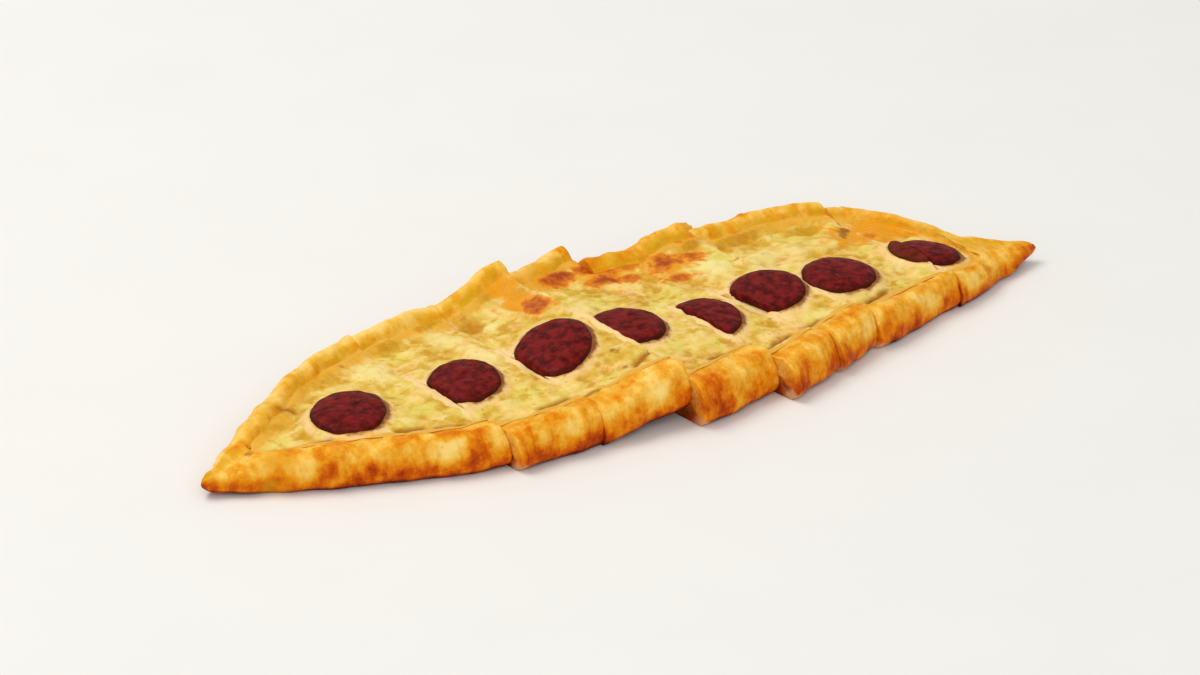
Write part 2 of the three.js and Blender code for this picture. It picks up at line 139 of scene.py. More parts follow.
# Places on the loaf, as (x, y, reach along x, reach along y, strength), with the seed of their
# ragged edges. The third argument of wave(), lumps() and rough() is such a seed as well.
TOASTED = SimpleNamespace(seed=71, spots=[
    (11, 70, 11, 7, 0.85), (29, 69, 9, 9, 0.95), (29, 56, 12, 7, 0.9), (62, 54, 13, 8, 0.9),
    (39, 52, 8, 6, 0.7), (57, 39, 8, 5, 0.75), (76, 51, 7, 6, 0.6), (-21, 45, 7, 9, 0.85),
    (24, 84, 9, 6, 0.4), (45, 62, 13, 6, 0.45), (84, 66, 14, 4, 0.4),
    (-190, 5, 5, 8, 0.7), (-172, -4, 7, 8, 0.65), (-155, -15, 7, 8, 0.6), (-166, 3, 9, 4, 0.6),
    (-142, -13, 12, 5, 0.6), (-121, -20, 10, 5, 0.7), (-115, -32, 8, 6, 0.5),
    (-95, -42, 7, 8, 0.85), (-52, -54, 16, 9, 0.7), (-9, -61, 14, 10, 1.0), (39, -65, 10, 9, 0.6),
    (68, -58, 12, 8, 0.5), (109, -53, 12, 8, 0.4), (149, -43, 12, 8, 0.5), (120, 72, 36, 6, 0.6),
    (150, 63, 20, 7, 0.6), (192, -36, 16, 5, 0.45), (207, -24, 9, 5, 0.4), (158, 22, 6, 5, 0.4),
])
# Pale stretches of the rims, partly flour and partly painted highlight, and the bottom corners where flour
# has stuck.
FLOURY = SimpleNamespace(seed=79, spots=[
    (-205, 10, 8, 9, 0.3), (-181, 1, 6, 8, 0.8), (-163, -9, 5, 6, 0.4), (-128, -28, 11, 9, 0.9),
    (-104, -36, 8, 9, 1.0), (-80, -46, 8, 7, 0.5), (-30, -46, 11, 10, 1.0), (14, -57, 7, 6, 0.7),
    (29, -58, 6, 7, 0.9), (52, -58, 6, 6, 0.5), (93, -51, 10, 7, 0.9), (132, -46, 12, 7, 0.7),
    (164, -42, 10, 7, 0.7), (186, -36, 9, 6, 0.4), (-75, 84, 16, 6, 0.5), (-30, 84, 10, 6, 0.5),
])
CORNERS = [(-98.5, -39, 5), (-12.5, -57, 5), (34, -63, 6), (67, -55.5, 5), (97, -49, 5)]
GOLDEN = SimpleNamespace(seed=77, spots=[
    (-23, 54, 12, 14, 1.0), (-22, 68, 10, 12, 0.9), (160, 24, 25, 20, 1.0), (5, 72, 16, 9, 0.8),
    (30, 63, 20, 15, 0.75), (62, 53, 20, 12, 0.8), (-188, 10, 15, 9, 0.5), (172, -10, 14, 16, 0.5),
])
# Oily yellow-brown places in the cheese's hollows and in the rims, darkened with painted shade.
OCHRE = SimpleNamespace(seed=73, spots=[
    (-170, 33, 9, 7, 0.6), (-164, 20, 7, 6, 0.6),
    (-62, 69, 11, 6, 0.8), (-48, 58, 8, 12, 0.95), (-88, 66, 13, 8, 0.7), (-132, 56, 24, 7, 0.6),
    (-162, 42, 18, 7, 0.6), (-28, 69, 11, 6, 0.7), (-20, 66, 12, 8, 0.6), (8, 77, 12, 5, 0.6),
    (45, 66, 22, 5, 0.6), (82, 60, 12, 6, 0.9), (104, 54, 24, 6, 0.85), (138, 45, 16, 7, 0.7),
    (-184, 15, 12, 8, 0.5), (-40, 42, 6, 9, 0.5), (195, -14, 14, 8, 0.8),
])
CREAM = SimpleNamespace(seed=75, spots=[
    (-66, 58, 7, 11, 0.9), (-110, 50, 8, 14, 0.7), (-43, 50, 5, 7, 0.8), (-34, 57, 5, 7, 0.8),
    (-26, 64, 5, 6, 0.7), (-2, 36, 10, 12, 0.6), (74, 38, 9, 11, 1.0), (100, 32, 14, 9, 0.7),
    (92, 20, 12, 7, 0.6), (148, -12, 12, 4, 0.9), (42, 12, 8, 12, 0.6), (-64, 30, 7, 12, 0.6),
    (118, 28, 14, 8, 0.5),
])
# Brown and olive specks in the cheese, as (x, y, radius, strength).
SPECKS = [
    (-23.5, -11.6, 2.8, 0.65), (-28.4, -24.1, 2.4, 0.6), (38.7, 41.8, 2.4, 0.55), (58.8, -19.7, 2.2, 0.55),
    (-48.4, -30, 2.6, 0.55), (87.7, 34.5, 3.0, 0.6), (147.8, 28.8, 4.0, 1.0), (149.6, 30.8, 4.0, 1.0),
    (151.2, 32.8, 4.0, 1.0), (-116.8, 61.4, 3.0, 0.5), (-34, -34, 2.0, 0.5), (52, 33, 2.0, 0.5),
]
# Short crevices in the rims and in the cheese beside them, grooved and darkened with painted shade, each
# from (x, y) to (x, y).
CREVICES = [
    (-168, 13.5, -159, 9), (-136, -0.5, -121, -7), (-121, -7, -105, -15), (-77, -23, -58, -25),
    (-55.5, -28, -46, -29), (-27, -27, -8, -21), (7.6, -36, 24, -35), (36.7, -41, 58.5, -35),
    (62, -36, 76, -33.5), (99, -33.6, 124, -27.4), (-165, 45, -155, 40.5), (-192.5, 26, -191.5, 22),
]


# ---------------- small helpers
def lerp(a, b, t):
    return a + (b - a) * t


def smooth(value, low, high):
    t = np.clip((np.asarray(value, float) - low) / (high - low), 0, 1)
    return t * t * (3 - 2 * t)


def wave(a, b, seed):
    """The smooth uneven wave between -1 and 1 that shapes the solids."""
    first = np.sin(a * 0.113 + b * 0.071 + seed * 1.7)
    second = np.sin(a * 0.257 - b * 0.181 + seed * 2.9 + 1.3)
    third = np.sin(a * 0.431 + b * 0.337 + seed * 4.3 + 2.1)
    return 0.5 * first + 0.32 * second + 0.18 * third


def corner_values(ix, iy, iz, seed):
    """A scattered number between -1 and 1 for each corner of a lattice."""
    n = (ix * 374761393 + iy * 668265263 + iz * 1013904223 + seed * 144665) & 0xFFFFFFFF
    n = ((n ^ (n >> 13)) * 1274126177) & 0xFFFFFFFF
    n = n ^ (n >> 16)
    return n / 2147483647.5 - 1


def lumps(points, cell, seed):
    """Smooth lumps between -1 and 1, about cell mm wide; cell may differ along x, y and z."""
    scaled = np.asarray(points, float) / np.asarray(cell, float) + 512.37
    base = np.floor(scaled).astype(np.int64)
    t = scaled - base
    t = t ** 3 * (t * (6 * t - 15) + 10)
    total = np.zeros(scaled.shape[:-1])
    for corner in itertools.product((0, 1), repeat=3):
        weight = np.prod(np.where(corner, t, 1 - t), axis=-1)
        at = base + np.array(corner)
        total += weight * corner_values(at[..., 0], at[..., 1], at[..., 2], seed)
    return total


def rough(points, cell, seed, octaves=3):
    """Lumps with finer lumps on them, each half as high as those before."""
    total = 0
    for i in range(octaves):
        total = total + 0.5 ** i * lumps(points, np.asarray(cell) / 2.1 ** i, seed + 31 * i)
    return total


def strongest(fields):
    """Makes a function that yields fields return the greatest of them at each point."""
    return lambda *args: functools.reduce(np.maximum, fields(*args), 0.0)


# ---------------- outline of a slice
def cut_at(index, side):
    number = index - 1 if side == "left" else index
    if 0 <= number < len(CUTS):
        return CUTS[number]
    return (LEFT_TIP if side == "left" else RIGHT_TIP, 0.0)


def cut_x(index, side, y):
    """x of a slice's end face at y."""
    x, lean = cut_at(index, side)
    if side == "left":
        return x + lean * y + (KERF / 2 if index > 0 else 0)
    return x + lean * y - (KERF / 2 if index < LAST else 0)


def slice_x(index, s, y):
    return lerp(cut_x(index, "left", y), cut_x(index, "right", y), s)


def plain_edges(piece, s):
    bow = 4 * s * (1 - s)
    return SimpleNamespace(
        front=lerp(*piece.front, s) - piece.crown[0] * bow,
        back=lerp(*piece.back, s) + piece.crown[1] * bow,
        crest=lerp(*piece.crest, s),
        rims=[lerp(*rim, s) for rim in piece.rims],
        curl=0.0,
        pocket=None,
    )


def left_tip_edges(piece, s):
    full = 1 - (1 - s) ** LEFT_FULLNESS
    grown = float(smooth(s, 0, 0.4))
    fade = smooth(s, 0.02, 0.1) * (1 - smooth(s, CRIMP.reach * 0.5, CRIMP.reach))
    crimp = float(CRIMP.depth * fade * np.sin(2 * np.pi * slice_x(0, s, 0) / CRIMP.pitch))
    return SimpleNamespace(
        front=lerp(*piece.front, full) - crimp * 0.8,
        back=lerp(*piece.back, full) + crimp * 0.5,
        crest=lerp(LEFT_POINT.crest, lerp(*piece.crest, s), grown) + crimp,
        rims=[lerp(*rim, grown) for rim in piece.rims],
        curl=float(LEFT_POINT.curl * (1 - smooth(s, 0, LEFT_POINT.reach))),
        pocket=None,
    )


def right_tip_edges(piece, s):
    length = RIGHT_TIP - cut_at(LAST, "left")[0]
    run = length * s
    turn = math.sqrt(max(0.0, 1 - (run / SHOULDER.reach) ** 2))
    past = float(np.clip((run - SHOULDER.reach) / (length - SHOULDER.reach), 0, 1))
    edges = plain_edges(piece, s)
    edges.back = max(SHOULDER.y + SHOULDER.rise * turn, TAIL.y)
    if past > 0:
        edges.back = lerp(TAIL.y, piece.back[1], past)
    edges.curl = float(TAIL.curl * smooth(past, 0.1, 1))
    body = lerp(*piece.crest, min(run / SHOULDER.reach, 1))
    edges.crest = float(lerp(body, TAIL.crest, smooth(run, SHOULDER.reach - 6, SHOULDER.reach + 14)))
    mouth = math.sqrt(max(0.0, 1 - (run / POCKET.reach) ** 2))
    edges.pocket = (POCKET.y - POCKET.front * mouth, POCKET.y + POCKET.back * mouth)
    return edges


def station(index, s):
    """Outer edges, inner edges, crest, cheese and floor of one cross-section."""
    piece = SLICES[index]
    edges = {0: left_tip_edges, LAST: right_tip_edges}.get(index, plain_edges)(piece, s)
    x = slice_x(index, s, 0)
    width = edges.back - edges.front
    front = edges.front + SIDE_UNEVEN * wave(x, 0, 3) * smooth(width, 10, 40)
    back = edges.back + SIDE_UNEVEN * wave(x, 40, 5) * smooth(width, 10, 40)
    inner_front = front + edges.rims[0] + RIM_UNEVEN * wave(x, 9, 7) * smooth(edges.rims[0], 9, 16)
    inner_back = back - edges.rims[1] - RIM_UNEVEN * wave(x, 23, 11)
    if edges.pocket:
        ease = smooth(s, 0, 0.12)
        inner_front = lerp(inner_front, edges.pocket[0], ease)
        inner_back = lerp(inner_back, edges.pocket[1], ease)
    least = min(0.8, width * 0.12)
    opened = float(smooth((inner_back - inner_front) / 2, least, 9))
    if inner_back - inner_front < 2 * least:
        seam = (front + back) / 2
        if edges.pocket:
            seam = float(np.clip(POCKET.y, front + width * 0.35, back - width * 0.35))
        inner_front = seam - least
        inner_back = seam + least
    return dict(
        x=x, front=front, back=back, inner_front=inner_front, inner_back=inner_back,
        crest=edges.crest, curl=edges.curl, open=opened,
        cheese=edges.crest - lerp(2, CHEESE_DROP, opened),
        floor=lerp(edges.crest - 3.2, FLOOR, opened),
    )


SAMPLES = np.linspace(0, 1, 701)  # fractions of a slice at which its cross-sections are worked out


def sampled(index):
    rows = [station(index, s) for s in SAMPLES]
    return {name: np.array([float(row[name]) for row in rows]) for name in rows[0]}


STATIONS = [sampled(index) for index in range(len(SLICES))]


def stations_at(index, s):
    """Every size of the cross-sections at the fractions s of a slice."""
    return SimpleNamespace(**{name: np.interp(s, SAMPLES, v) for name, v in STATIONS[index].items()})


def lift(index, s):
    return lerp(*SLICES[index].lift, s)


def fraction_at(index, x, y):
    left = cut_x(index, "left", y)
    return np.clip((x - left) / (cut_x(index, "right", y) - left), 0, 1)


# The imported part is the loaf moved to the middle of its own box.
SHIFT = np.array([
    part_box("crust_1")[0].x / MM - LEFT_TIP,
    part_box("crust_5")[0].y / MM - float(station(4, 0)["front"]),
    0.0,
])


def to_frame(points):
    return (np.asarray(points, float) + SHIFT) * MM


# ---------------- meshes
def added(name, data):
    """A new object, linked into the scene."""
    thing = bpy.data.objects.new(name, data)
    bpy.context.scene.collection.objects.link(thing)
    return thing


def piece_from(name, vertices, faces, node, slot, material, **fields):
    """A smooth-shaded piece that stands for one solid, with a number at each vertex for each field."""
    mesh = bpy.data.meshes.new(name)
    mesh.from_pydata(to_frame(vertices).tolist(), [], faces)
    mesh.validate()
    mesh.shade_smooth()
    mesh.set_sharp_from_angle(angle=SHARP_EDGE)
    for field, values in fields.items():
        attribute = mesh.attributes.new(field, "FLOAT", "POINT")
        attribute.data.foreach_set("value", np.asarray(values, np.float32).ravel())
    mesh.materials.append(material)
    piece = added(name, mesh)
    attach(piece, "root")
    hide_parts(node)


def tube_faces(rows, around):
    """Quads between neighbouring rings, turned to face outwards."""
    r, i = np.meshgrid(np.arange(rows - 1), np.arange(around), indexing="ij")
    j = (i + 1) % around
    quads = np.stack([r * around + i, (r + 1) * around + i, (r + 1) * around + j, r * around + j], -1)
    return quads.reshape(-1, 4).tolist()


def ring_normals(rings):
    """Outward normals of a tube of rings."""
    along = np.gradient(rings, axis=0)
    around = np.roll(rings, -1, axis=1) - np.roll(rings, 1, axis=1)
    normal = np.cross(along, around)
    normal /= np.linalg.norm(normal, axis=-1, keepdims=True) + 1e-9
    centre = rings.mean(axis=1, keepdims=True)
    if np.sum(normal * (rings - centre)) < 0:
        normal = -normal
    return normal


def face_grid(outline, step, seed):
    """Points inside a cut face's outline, off its edge, on a shaken grid."""
    low, high = outline.min(0), outline.max(0)
    y, z = np.meshgrid(np.arange(low[0], high[0], step), np.arange(low[1], high[1], step))
    points = np.stack([y.ravel(), z.ravel()], -1)
    draw = np.random.default_rng(seed)
    points += draw.uniform(-0.3, 0.3, points.shape) * step
    a, b = outline, np.roll(outline, -1, axis=0)
    inside = np.zeros(len(points), bool)
    nearest = np.full(len(points), 1e9)
    for (ay, az), (by, bz) in zip(a, b):
        crosses = (az > points[:, 1]) != (bz > points[:, 1])
        reach = (by - ay) * (points[:, 1] - az) / (bz - az + 1e-12) + ay
        inside ^= crosses & (points[:, 0] < reach)
        edge = np.array([by - ay, bz - az])
        t = np.clip(((points - (ay, az)) @ edge) / (edge @ edge + 1e-12), 0, 1)
        away = points - (np.array([ay, az]) + t[:, None] * edge)
        nearest = np.minimum(nearest, np.hypot(away[:, 0], away[:, 1]))
    return points[inside & (nearest > step * 0.45)]


def cap(ring, step, seed):
    """Closes a ring with a finely divided face: returns its inner points (y, z) and its faces,
    numbered so that the ring's own vertices keep their places and the inner ones come after."""
    inner = face_grid(ring, step, seed)
    flat = [Vector(p) for p in np.concatenate([ring, inner])]
    points, _, faces, origin, _, _ = delaunay_2d_cdt(flat, [], [list(range(len(ring)))], 1, 1e-6)
    number = [group[0] if group else -1 for group in origin]
    kept = [face for face in faces if all(number[v] >= 0 for v in face)]
    return inner, [[number[v] for v in face] for face in kept]


def turned(face, points, way):
    """The face turned so that its normal has the sign of way along x."""
    a, b, c = (points[v] for v in face[:3])
    sign = (b[0] - a[0]) * (c[1] - a[1]) - (b[1] - a[1]) * (c[0] - a[0])
    return face if sign * way > 0 else face[::-1]


def capped(index, rings, step, seed):
    """Vertices and faces of a slice's tube closed by its two cut faces, whose inner points lie
    in the plane of the cut, pressed in a little unevenly. Also returns, for each cut face, the
    numbers of its inner vertices and those of its ring."""
    rows, around = rings.shape[:2]
    vertices = [rings.reshape(-1, 3)]
    faces = tube_faces(rows, around)
    count = rows * around
    inner_sets = []
    for row, side, way in ((0, "left", -1), (rows - 1, "right", 1)):
        ring = rings[row]
        inner, triangles = cap(ring[:, 1:], step, seed + row)
        plane = np.full(len(inner), ring[:, 0].mean())
        if fraction_at(index, *ring.mean(0)[:2]) in (0.0, 1.0):
            plane = cut_x(index, side, inner[:, 0])
        height = np.stack([plane, inner[:, 0], inner[:, 1]], -1)
        height[:, 0] -= way * np.clip(0.12 + 0.16 * rough(height, 1.6, seed + 5), 0, 0.4)
        flat = np.concatenate([ring[:, 1:], inner])
        for face in triangles:
            face = turned(face, flat, way)
            faces.append([v + row * around if v < around else v - around + count for v in face])
        vertices.append(height)
        inner_sets.append((np.arange(count, count + len(inner)), np.arange(around) + row * around))
        count += len(inner)
    return np.concatenate(vertices), faces, inner_sets


def spread(points, steps):
    """Points along smooth curves through given ones, with steps[i] steps from point i to the next."""
    first = 2 * points[:, :1] - points[:, 1:2]
    last = 2 * points[:, -1:] - points[:, -2:-1]
    padded = np.concatenate([first, points, last], axis=1)
    made = []
    for i, count in enumerate(steps):
        p0, p1, p2, p3 = (padded[:, i + k] for k in range(4))
        for t in np.arange(count) / count:
            bend = (2 * p0 - 5 * p1 + 4 * p2 - p3) * t ** 2 + (3 * p1 - p0 - 3 * p2 + p3) * t ** 3
            made.append(p1 + 0.5 * ((p2 - p0) * t + bend))
    made.append(points[:, -1])
    return np.stack(made, axis=1)


def straight(points, steps):
    """The same along straight lines."""
    made = []
    for i, count in enumerate(steps):
        for t in np.arange(count) / count:
            made.append(lerp(points[:, i], points[:, i + 1], t))
    made.append(points[:, -1])
    return np.stack(made, axis=1)


def fractions(index):
    """Where a slice's mesh rows lie: evenly, closer at its knife cuts and round the shoulder."""
    length = slice_x(index, 1, 0) - slice_x(index, 0, 0)
    near = np.array(CUT_ROWS) / length
    if index == LAST:
        turn = SHOULDER.reach / (RIGHT_TIP - cut_at(LAST, "left")[0])
        count = int(SHOULDER.reach * 2.1 / ROW_STEP)
        bend = turn * np.sin(np.linspace(0, math.pi / 2, count))
        tail = np.linspace(turn, 1, int((1 - turn) * length / ROW_STEP))[1:]
        return np.concatenate([near, bend[bend > near[-1] * 1.3], tail])
    start = near if index > 0 else near[:1]
    low, high = start[-1], 1 - near[-1]
    even = np.linspace(low, high, int((high - low) * length / ROW_STEP) + 1)[1:-1]
    return np.concatenate([start, even, 1 - near[::-1]])


# ---------------- cross-sections
RIM_STEPS = (5, 5, 7, 7, 6, 6, 6, 6, 4, 3)  # mesh steps from the rim's bottom edge to its lip
CREST_STEP = sum(RIM_STEPS[:6])  # of which these lead to the top of the rim
POCKET_STEPS = (3, 2, 2, 2, 5, 5, 2, 2, 2, 3)  # then down, over the floor and up to the other lip
BASE_STEPS = (12, 12)  # under the loaf
TOP_STEPS = 104  # across the cheese


def rim_profile(st, width, rise, seed):
    """One side of the crust from its bottom edge over the rolled rim and lip to the floor,
    as distance in from the outer edge and height."""
    k = np.minimum(width / RIM_WIDTH, 1.15)
    full = np.clip(width / 10, 0, 1)
    top = st.crest + (rise + CREST_UNEVEN * wave(st.x, 0, seed)) * full
    side = top - st.curl
    deep = st.cheese - st.floor
    outline = [
        (3.2 * k, st.curl),
        (1 * k, st.curl + side * 0.1),
        (0 * k, st.curl + side * 0.27),
        (1.1 * k, st.curl + side * 0.54),
        (3.6 * k, st.curl + side * 0.79),
        (7 * k, st.curl + side * 0.95),
        (width * 0.54, top),
        (width * 0.75, lerp(top, st.cheese + 2.2, 0.4)),
        (width * 0.9, st.cheese + 1.7),
        (width, st.cheese + 0.95),
        (width - 0.8 * k, st.cheese + 0.35),
        (width - 3.4 * k, st.cheese - 0.3 * np.clip(deep / 4, 0, 1)),
        (width - 4.2 * k, st.cheese - deep * 0.32),
        (width - 2.2 * k, st.floor + deep * 0.16),
        (width + 1.4 * k, st.floor),
    ]
    return np.stack([np.stack(np.broadcast_arrays(d, z), -1) for d, z in outline], axis=1)


def rim_sides(st):
    """The two sides' points as (y, z)."""
    front = rim_profile(st, st.inner_front - st.front, 0, 13)
    back = rim_profile(st, st.back - st.inner_back, BACK_RISE, 17)
    front[..., 0] = st.front[:, None] + front[..., 0]
    back[..., 0] = st.back[:, None] - back[..., 0]
    return front, back


def pocket_chain(st):
    """From the front lip down, over the floor and up to the back lip."""
    front, back = rim_sides(st)
    middle = np.stack([(st.inner_front + st.inner_back) / 2, st.floor], -1)[:, None]
    return np.concatenate([front[:, 10:], middle, back[:, :9:-1]], axis=1)


def place(index, s, section):
    """Cross-section points (y, z) as loaf points (x, y, z)."""
    x = slice_x(index, s[:, None], section[..., 0])
    z = section[..., 1] + lift(index, s)[:, None]
    return np.stack([x, section[..., 0], z], -1)


def from_cut(index, points):
    """Distance along x to the nearest knife cut of the slice."""
    left = points[..., 0] - cut_x(index, "left", points[..., 1]) if index > 0 else FAR
    right = cut_x(index, "right", points[..., 1]) - points[..., 0] if index < LAST else FAR
    return np.minimum(left, right)


def edge_inset(distance, edge):
    """How far a surface is drawn in to round the edge of a cut."""
    t = np.clip(1 - distance / edge.reach, 0, 1)
    return edge.depth * (1 - np.sqrt(1 - t * t))


# ---------------- fields on the surface
@strongest
def patches(points, spots, ragged, low, high):
    """Each spot's strength inside it, falling to 0 outside; ragged stretches the way out of it."""
    for x, y, reach_x, reach_y, strength in spots:
        away = np.hypot((points[..., 0] - x) / reach_x, (points[..., 1] - y) / reach_y) * ragged
        yield strength * (1 - smooth(away, low, high))


def marked(points, places):
    """0 to 1 near the listed places, with ragged edges."""
    uneven = 0.35 * rough(points, 6.5, places.seed)
    ragged = 1 + uneven + 0.2 * lumps(points, 2.4, places.seed + 1)
    return patches(points, places.spots, ragged, 0.2, 1.2)


def specks(points):
    """0 to 1 where a brown speck lies in the cheese."""
    ragged = np.maximum(1 + 0.8 * rough(points, 2.6, 81), 0.6)
    spots = [(x, y, radius, radius, strength) for x, y, radius, strength in SPECKS]
    return patches(points, spots, ragged, 0.3, 1.1)


@strongest
def corner_flour(points, heights):
    """0 to 1 on the floury bottom corners of the front rim."""
    for x, y, radius in CORNERS:
        away = np.hypot(points[..., 0] - x, points[..., 1] - y) / radius
        away = np.hypot(away, heights / (0.9 * radius)) * (1 + 0.3 * lumps(points, 2.2, 87))
        yield 1 - smooth(away, 0.5, 1.1)


@strongest
def crevices(points):
    """0 to 1 in the short crevices, grooved and darkened with painted shade, ragged and tapering to their
    ends.
    """
    wander = 0.8 * rough(points * (1, 1, 0), 6, 58, 2)
    for x0, y0, x1, y1 in CREVICES:
        run = np.array([x1 - x0, y1 - y0])
        length = np.hypot(*run)
        along = ((points[..., 0] - x0) * run[0] + (points[..., 1] - y0) * run[1]) / length ** 2
        across = ((points[..., 1] - y0) * run[0] - (points[..., 0] - x0) * run[1]) / length
        taper = smooth(along, -0.05, 0.2) * (1 - smooth(along, 0.8, 1.05))
        yield taper * np.exp(-((across + wander) / CRACK.wide) ** 2)


def out_of_round(item, turn):
    """The size of a round at a turn, as a share of the true ellipse's."""
    return 1 + 0.02 * np.sin(2 * turn + item.x) + 0.014 * np.sin(3 * turn + item.y)


def round_distance(item, x, y):
    """Way out from a round's centre as a share of its edge, and mm from its edge."""
    dx, dy = x - item.x, y - item.y
    along = dx * math.cos(SLANT) + dy * math.sin(SLANT)
    across = -dx * math.sin(SLANT) + dy * math.cos(SLANT)
    share = np.hypot(along / item.along, across / item.across)
    share = share / out_of_round(item, np.arctan2(across, along))
    radius = np.hypot(dx, dy) / np.maximum(share, 1e-3)
    return share, (share - 1) * radius


# ---------------- crust
def closed_over(st, ring):
    """Closes the ring from crest to crest where the two rims meet, but for a shallow crease."""
    last = sum(POCKET_STEPS) + 2 * sum(RIM_STEPS) - CREST_STEP
    top = ring[:, CREST_STEP:last + 1]
    t = np.linspace(0, 1, top.shape[1])[None, :, None]
    across = lerp(top[:, :1], top[:, -1:], t)
    across[..., 1] -= CREASE * np.sin(math.pi * t[..., 0]) ** 2
    ring[:, CREST_STEP:last + 1] = lerp(across, top, smooth(st.open, 0.08, 0.24)[:, None, None])
    return ring


def crust_ring(st):
    front, back = rim_sides(st)
    rising = spread(front[:, :11], RIM_STEPS)
    falling = spread(back[:, :11], RIM_STEPS)[:, ::-1]
    inside = straight(pocket_chain(st), POCKET_STEPS)[:, 1:-1]
    middle = np.stack([(st.front + st.back) / 2, st.curl], -1)[:, None]
    below = np.concatenate([falling[:, -1:], middle, rising[:, :1]], axis=1)
    below = straight(below, BASE_STEPS)[:, 1:-1]
    return closed_over(st, np.concatenate([rising, inside, falling, below], axis=1))


def rim_way(around):
    """For each point round the ring: 0 to 1 from a side's bottom edge to its lip, 2 inside,
    under the cheese, and -1 below; and whether it belongs to the front side."""
    rim = sum(RIM_STEPS) + 1
    inside = sum(POCKET_STEPS) - 1
    way = np.full(around, -1.0)
    way[:rim] = np.linspace(0, 1, rim)
    way[rim:rim + inside] = 2
    way[rim + inside:2 * rim + inside] = np.linspace(1, 0, rim)
    return way, np.arange(around) < rim + inside // 2


def crust_relief(points, way, is_front, st):
    """Lumps, stretched wrinkles and blisters of the baked dough, in mm. The back rim is smoother
    and the front rim lower along its top than the solid."""
    small = smooth(st.back - st.front, 3, 22)[:, None]
    flatter = FLATTER * smooth(st.open, 0.25, 0.9)[:, None]
    body = 0.4 * rough(points, (19, 14, 14), 11, 2) + 0.5 * rough(points, (8, 6, 6), 13, 3)
    wrinkles = 0.45 * np.maximum(0, rough(points, (12, 3.4, 3.4), 17, 2)) ** 1.5
    folds = 0.3 * rough(points, (6.5, 16, 16), 19, 2)
    blisters = 0.9 * smooth(lumps(points, 5, 23), 0.42, 0.85) * smooth(lumps(points, 19, 24), -0.2, 0.35)
    shown = smooth(way, 0.02, 0.2) * (1 - smooth(way, 0.84, 0.94)) * np.where(is_front, 1, 0.6)
    body = body - CRACK.deep * crevices(points) * smooth(way, 0.7, 0.84)
    body = body - flatter * np.exp(-((way - 0.66) / 0.16) ** 2) * is_front
    toast = 0.4 * marked(points, TOASTED)
    return (body + folds - wrinkles + blisters + toast) * shown[None] * small


def crust_bake(points, bottom, way, is_front, st):
    """How brown each point is: pale 0, golden 0.4, brown 0.8, nearly black 1, with painted shade low down
    and painted highlights on the rims' tops. The back rim is pale outside towards the left tip and
    browned at its outer edge towards the tail."""
    x = points[..., 0]
    back = np.where(is_front, 0, 1)
    height = np.clip((points[..., 2] - bottom[:, None]) / st.crest[:, None], 0, 1.2)
    # darker towards the bottom: partly the browner baked underside, partly painted shade where the rim
    # meets the floor
    low = 0.94 - 0.32 * smooth(height, 0, 0.17) - 0.3 * smooth(height, 0.2, 0.82)
    outer = smooth(way, 0.2, 0.4) * (1 - smooth(way, 0.66, 0.8)) * back
    pale = (0.18 - 0.08 * smooth(x, -20, 40)) * outer
    seared = 0.32 * smooth(x, 78, 104) * (1 - smooth(way, 0.36, 0.52)) * back
    uneven = 0.09 * rough(points, (11, 8, 8), 37, 3) + 0.03 * rough(points, 3, 38, 2)
    burnt = 0.25 * marked(points, TOASTED) * smooth(height, 0.14, 0.5)
    # paler where flour lies and where a highlight is painted on the upper rim
    floury = 0.26 * marked(points, FLOURY) * smooth(height, 0.16, 0.5)
    return np.clip(low - pale + seared + uneven + burnt - floury, 0, 1)


def crust_ochre(points, way, is_front):
    """0 to 1 where the inner slope of the rim is oily and yellow-brown, with painted shade, more on the
    back rim.
    """
    slope = smooth(way, 0.6, 0.84) * np.where(is_front, 0.35, 0.75)
    slope = slope * (1 + 0.8 * rough(points, 9, 91))
    return np.clip(np.maximum(slope, marked(points, OCHRE)), 0, 1)


def pushed(index, rings, normals, distance):
    """Moves points along their normals, but those at a knife cut only within its plane."""
    move = normals * distance[..., None]
    move[..., 0] *= smooth(from_cut(index, rings), 0, 3)
    return rings + move


def with_nose(index, rings):
    """Rounds the pinched ends of the loaf as seen from the side."""
    tip = {0: LEFT_TIP, LAST: RIGHT_TIP}.get(index, FAR)
    inward = np.clip(np.abs(rings[..., 0] - tip) / TIP_ROUND, 0, 1)
    tall = np.sqrt(1 - 0.96 * (1 - inward) ** 2)
    middle = (rings[..., 2].min(1) + rings[..., 2].max(1))[:, None] / 2
    rings[..., 2] = lerp(middle, rings[..., 2], tall)
    return rings


def crust_rings(index, s, st):
    """The crust's rings with their relief, rounded at cuts and tips and nowhere below z = 0, and
    what rim_way() says of their points."""
    rings = place(index, s, crust_ring(st))
    way, is_front = rim_way(rings.shape[1])
    normals = ring_normals(rings)
    rings = pushed(index, rings, normals, crust_relief(rings, way, is_front, st))
    rim = smooth(way, -0.01, 0.01) * (1 - smooth(way, 0.8, 0.96))
    rings = pushed(index, rings, normals, -rim * edge_inset(from_cut(index, rings), CRUST_ROUND))
    rings = with_nose(index, rings)
    rings[..., 2] = np.maximum(rings[..., 2], 0)
    return rings, way, is_front


def shade_cut_faces(vertices, cut_faces, skin, raised, brown):
    """Browns each cut face like the nearest skin; returns how crumbly each vertex is, 0 to 1, less so
    towards the bottom, partly as painted shade.
    """
    crumb = np.zeros(len(vertices))
    for inner, ring in cut_faces:
        edge = vertices[ring[skin]]
        away = vertices[inner][:, None, 1:] - edge[None, :, 1:]
        depth = np.hypot(away[..., 0], away[..., 1])
        # less crumb towards the bottom: partly baked brown, partly painted shade
        high = smooth(vertices[inner, 2] - raised, 3, 13)
        crumb[inner] = smooth(depth.min(1), 0.6, 3.6) * lerp(0.1, 0.8, high)
        brown[inner] = brown[ring[skin]][depth.argmin(1)]
    return crumb


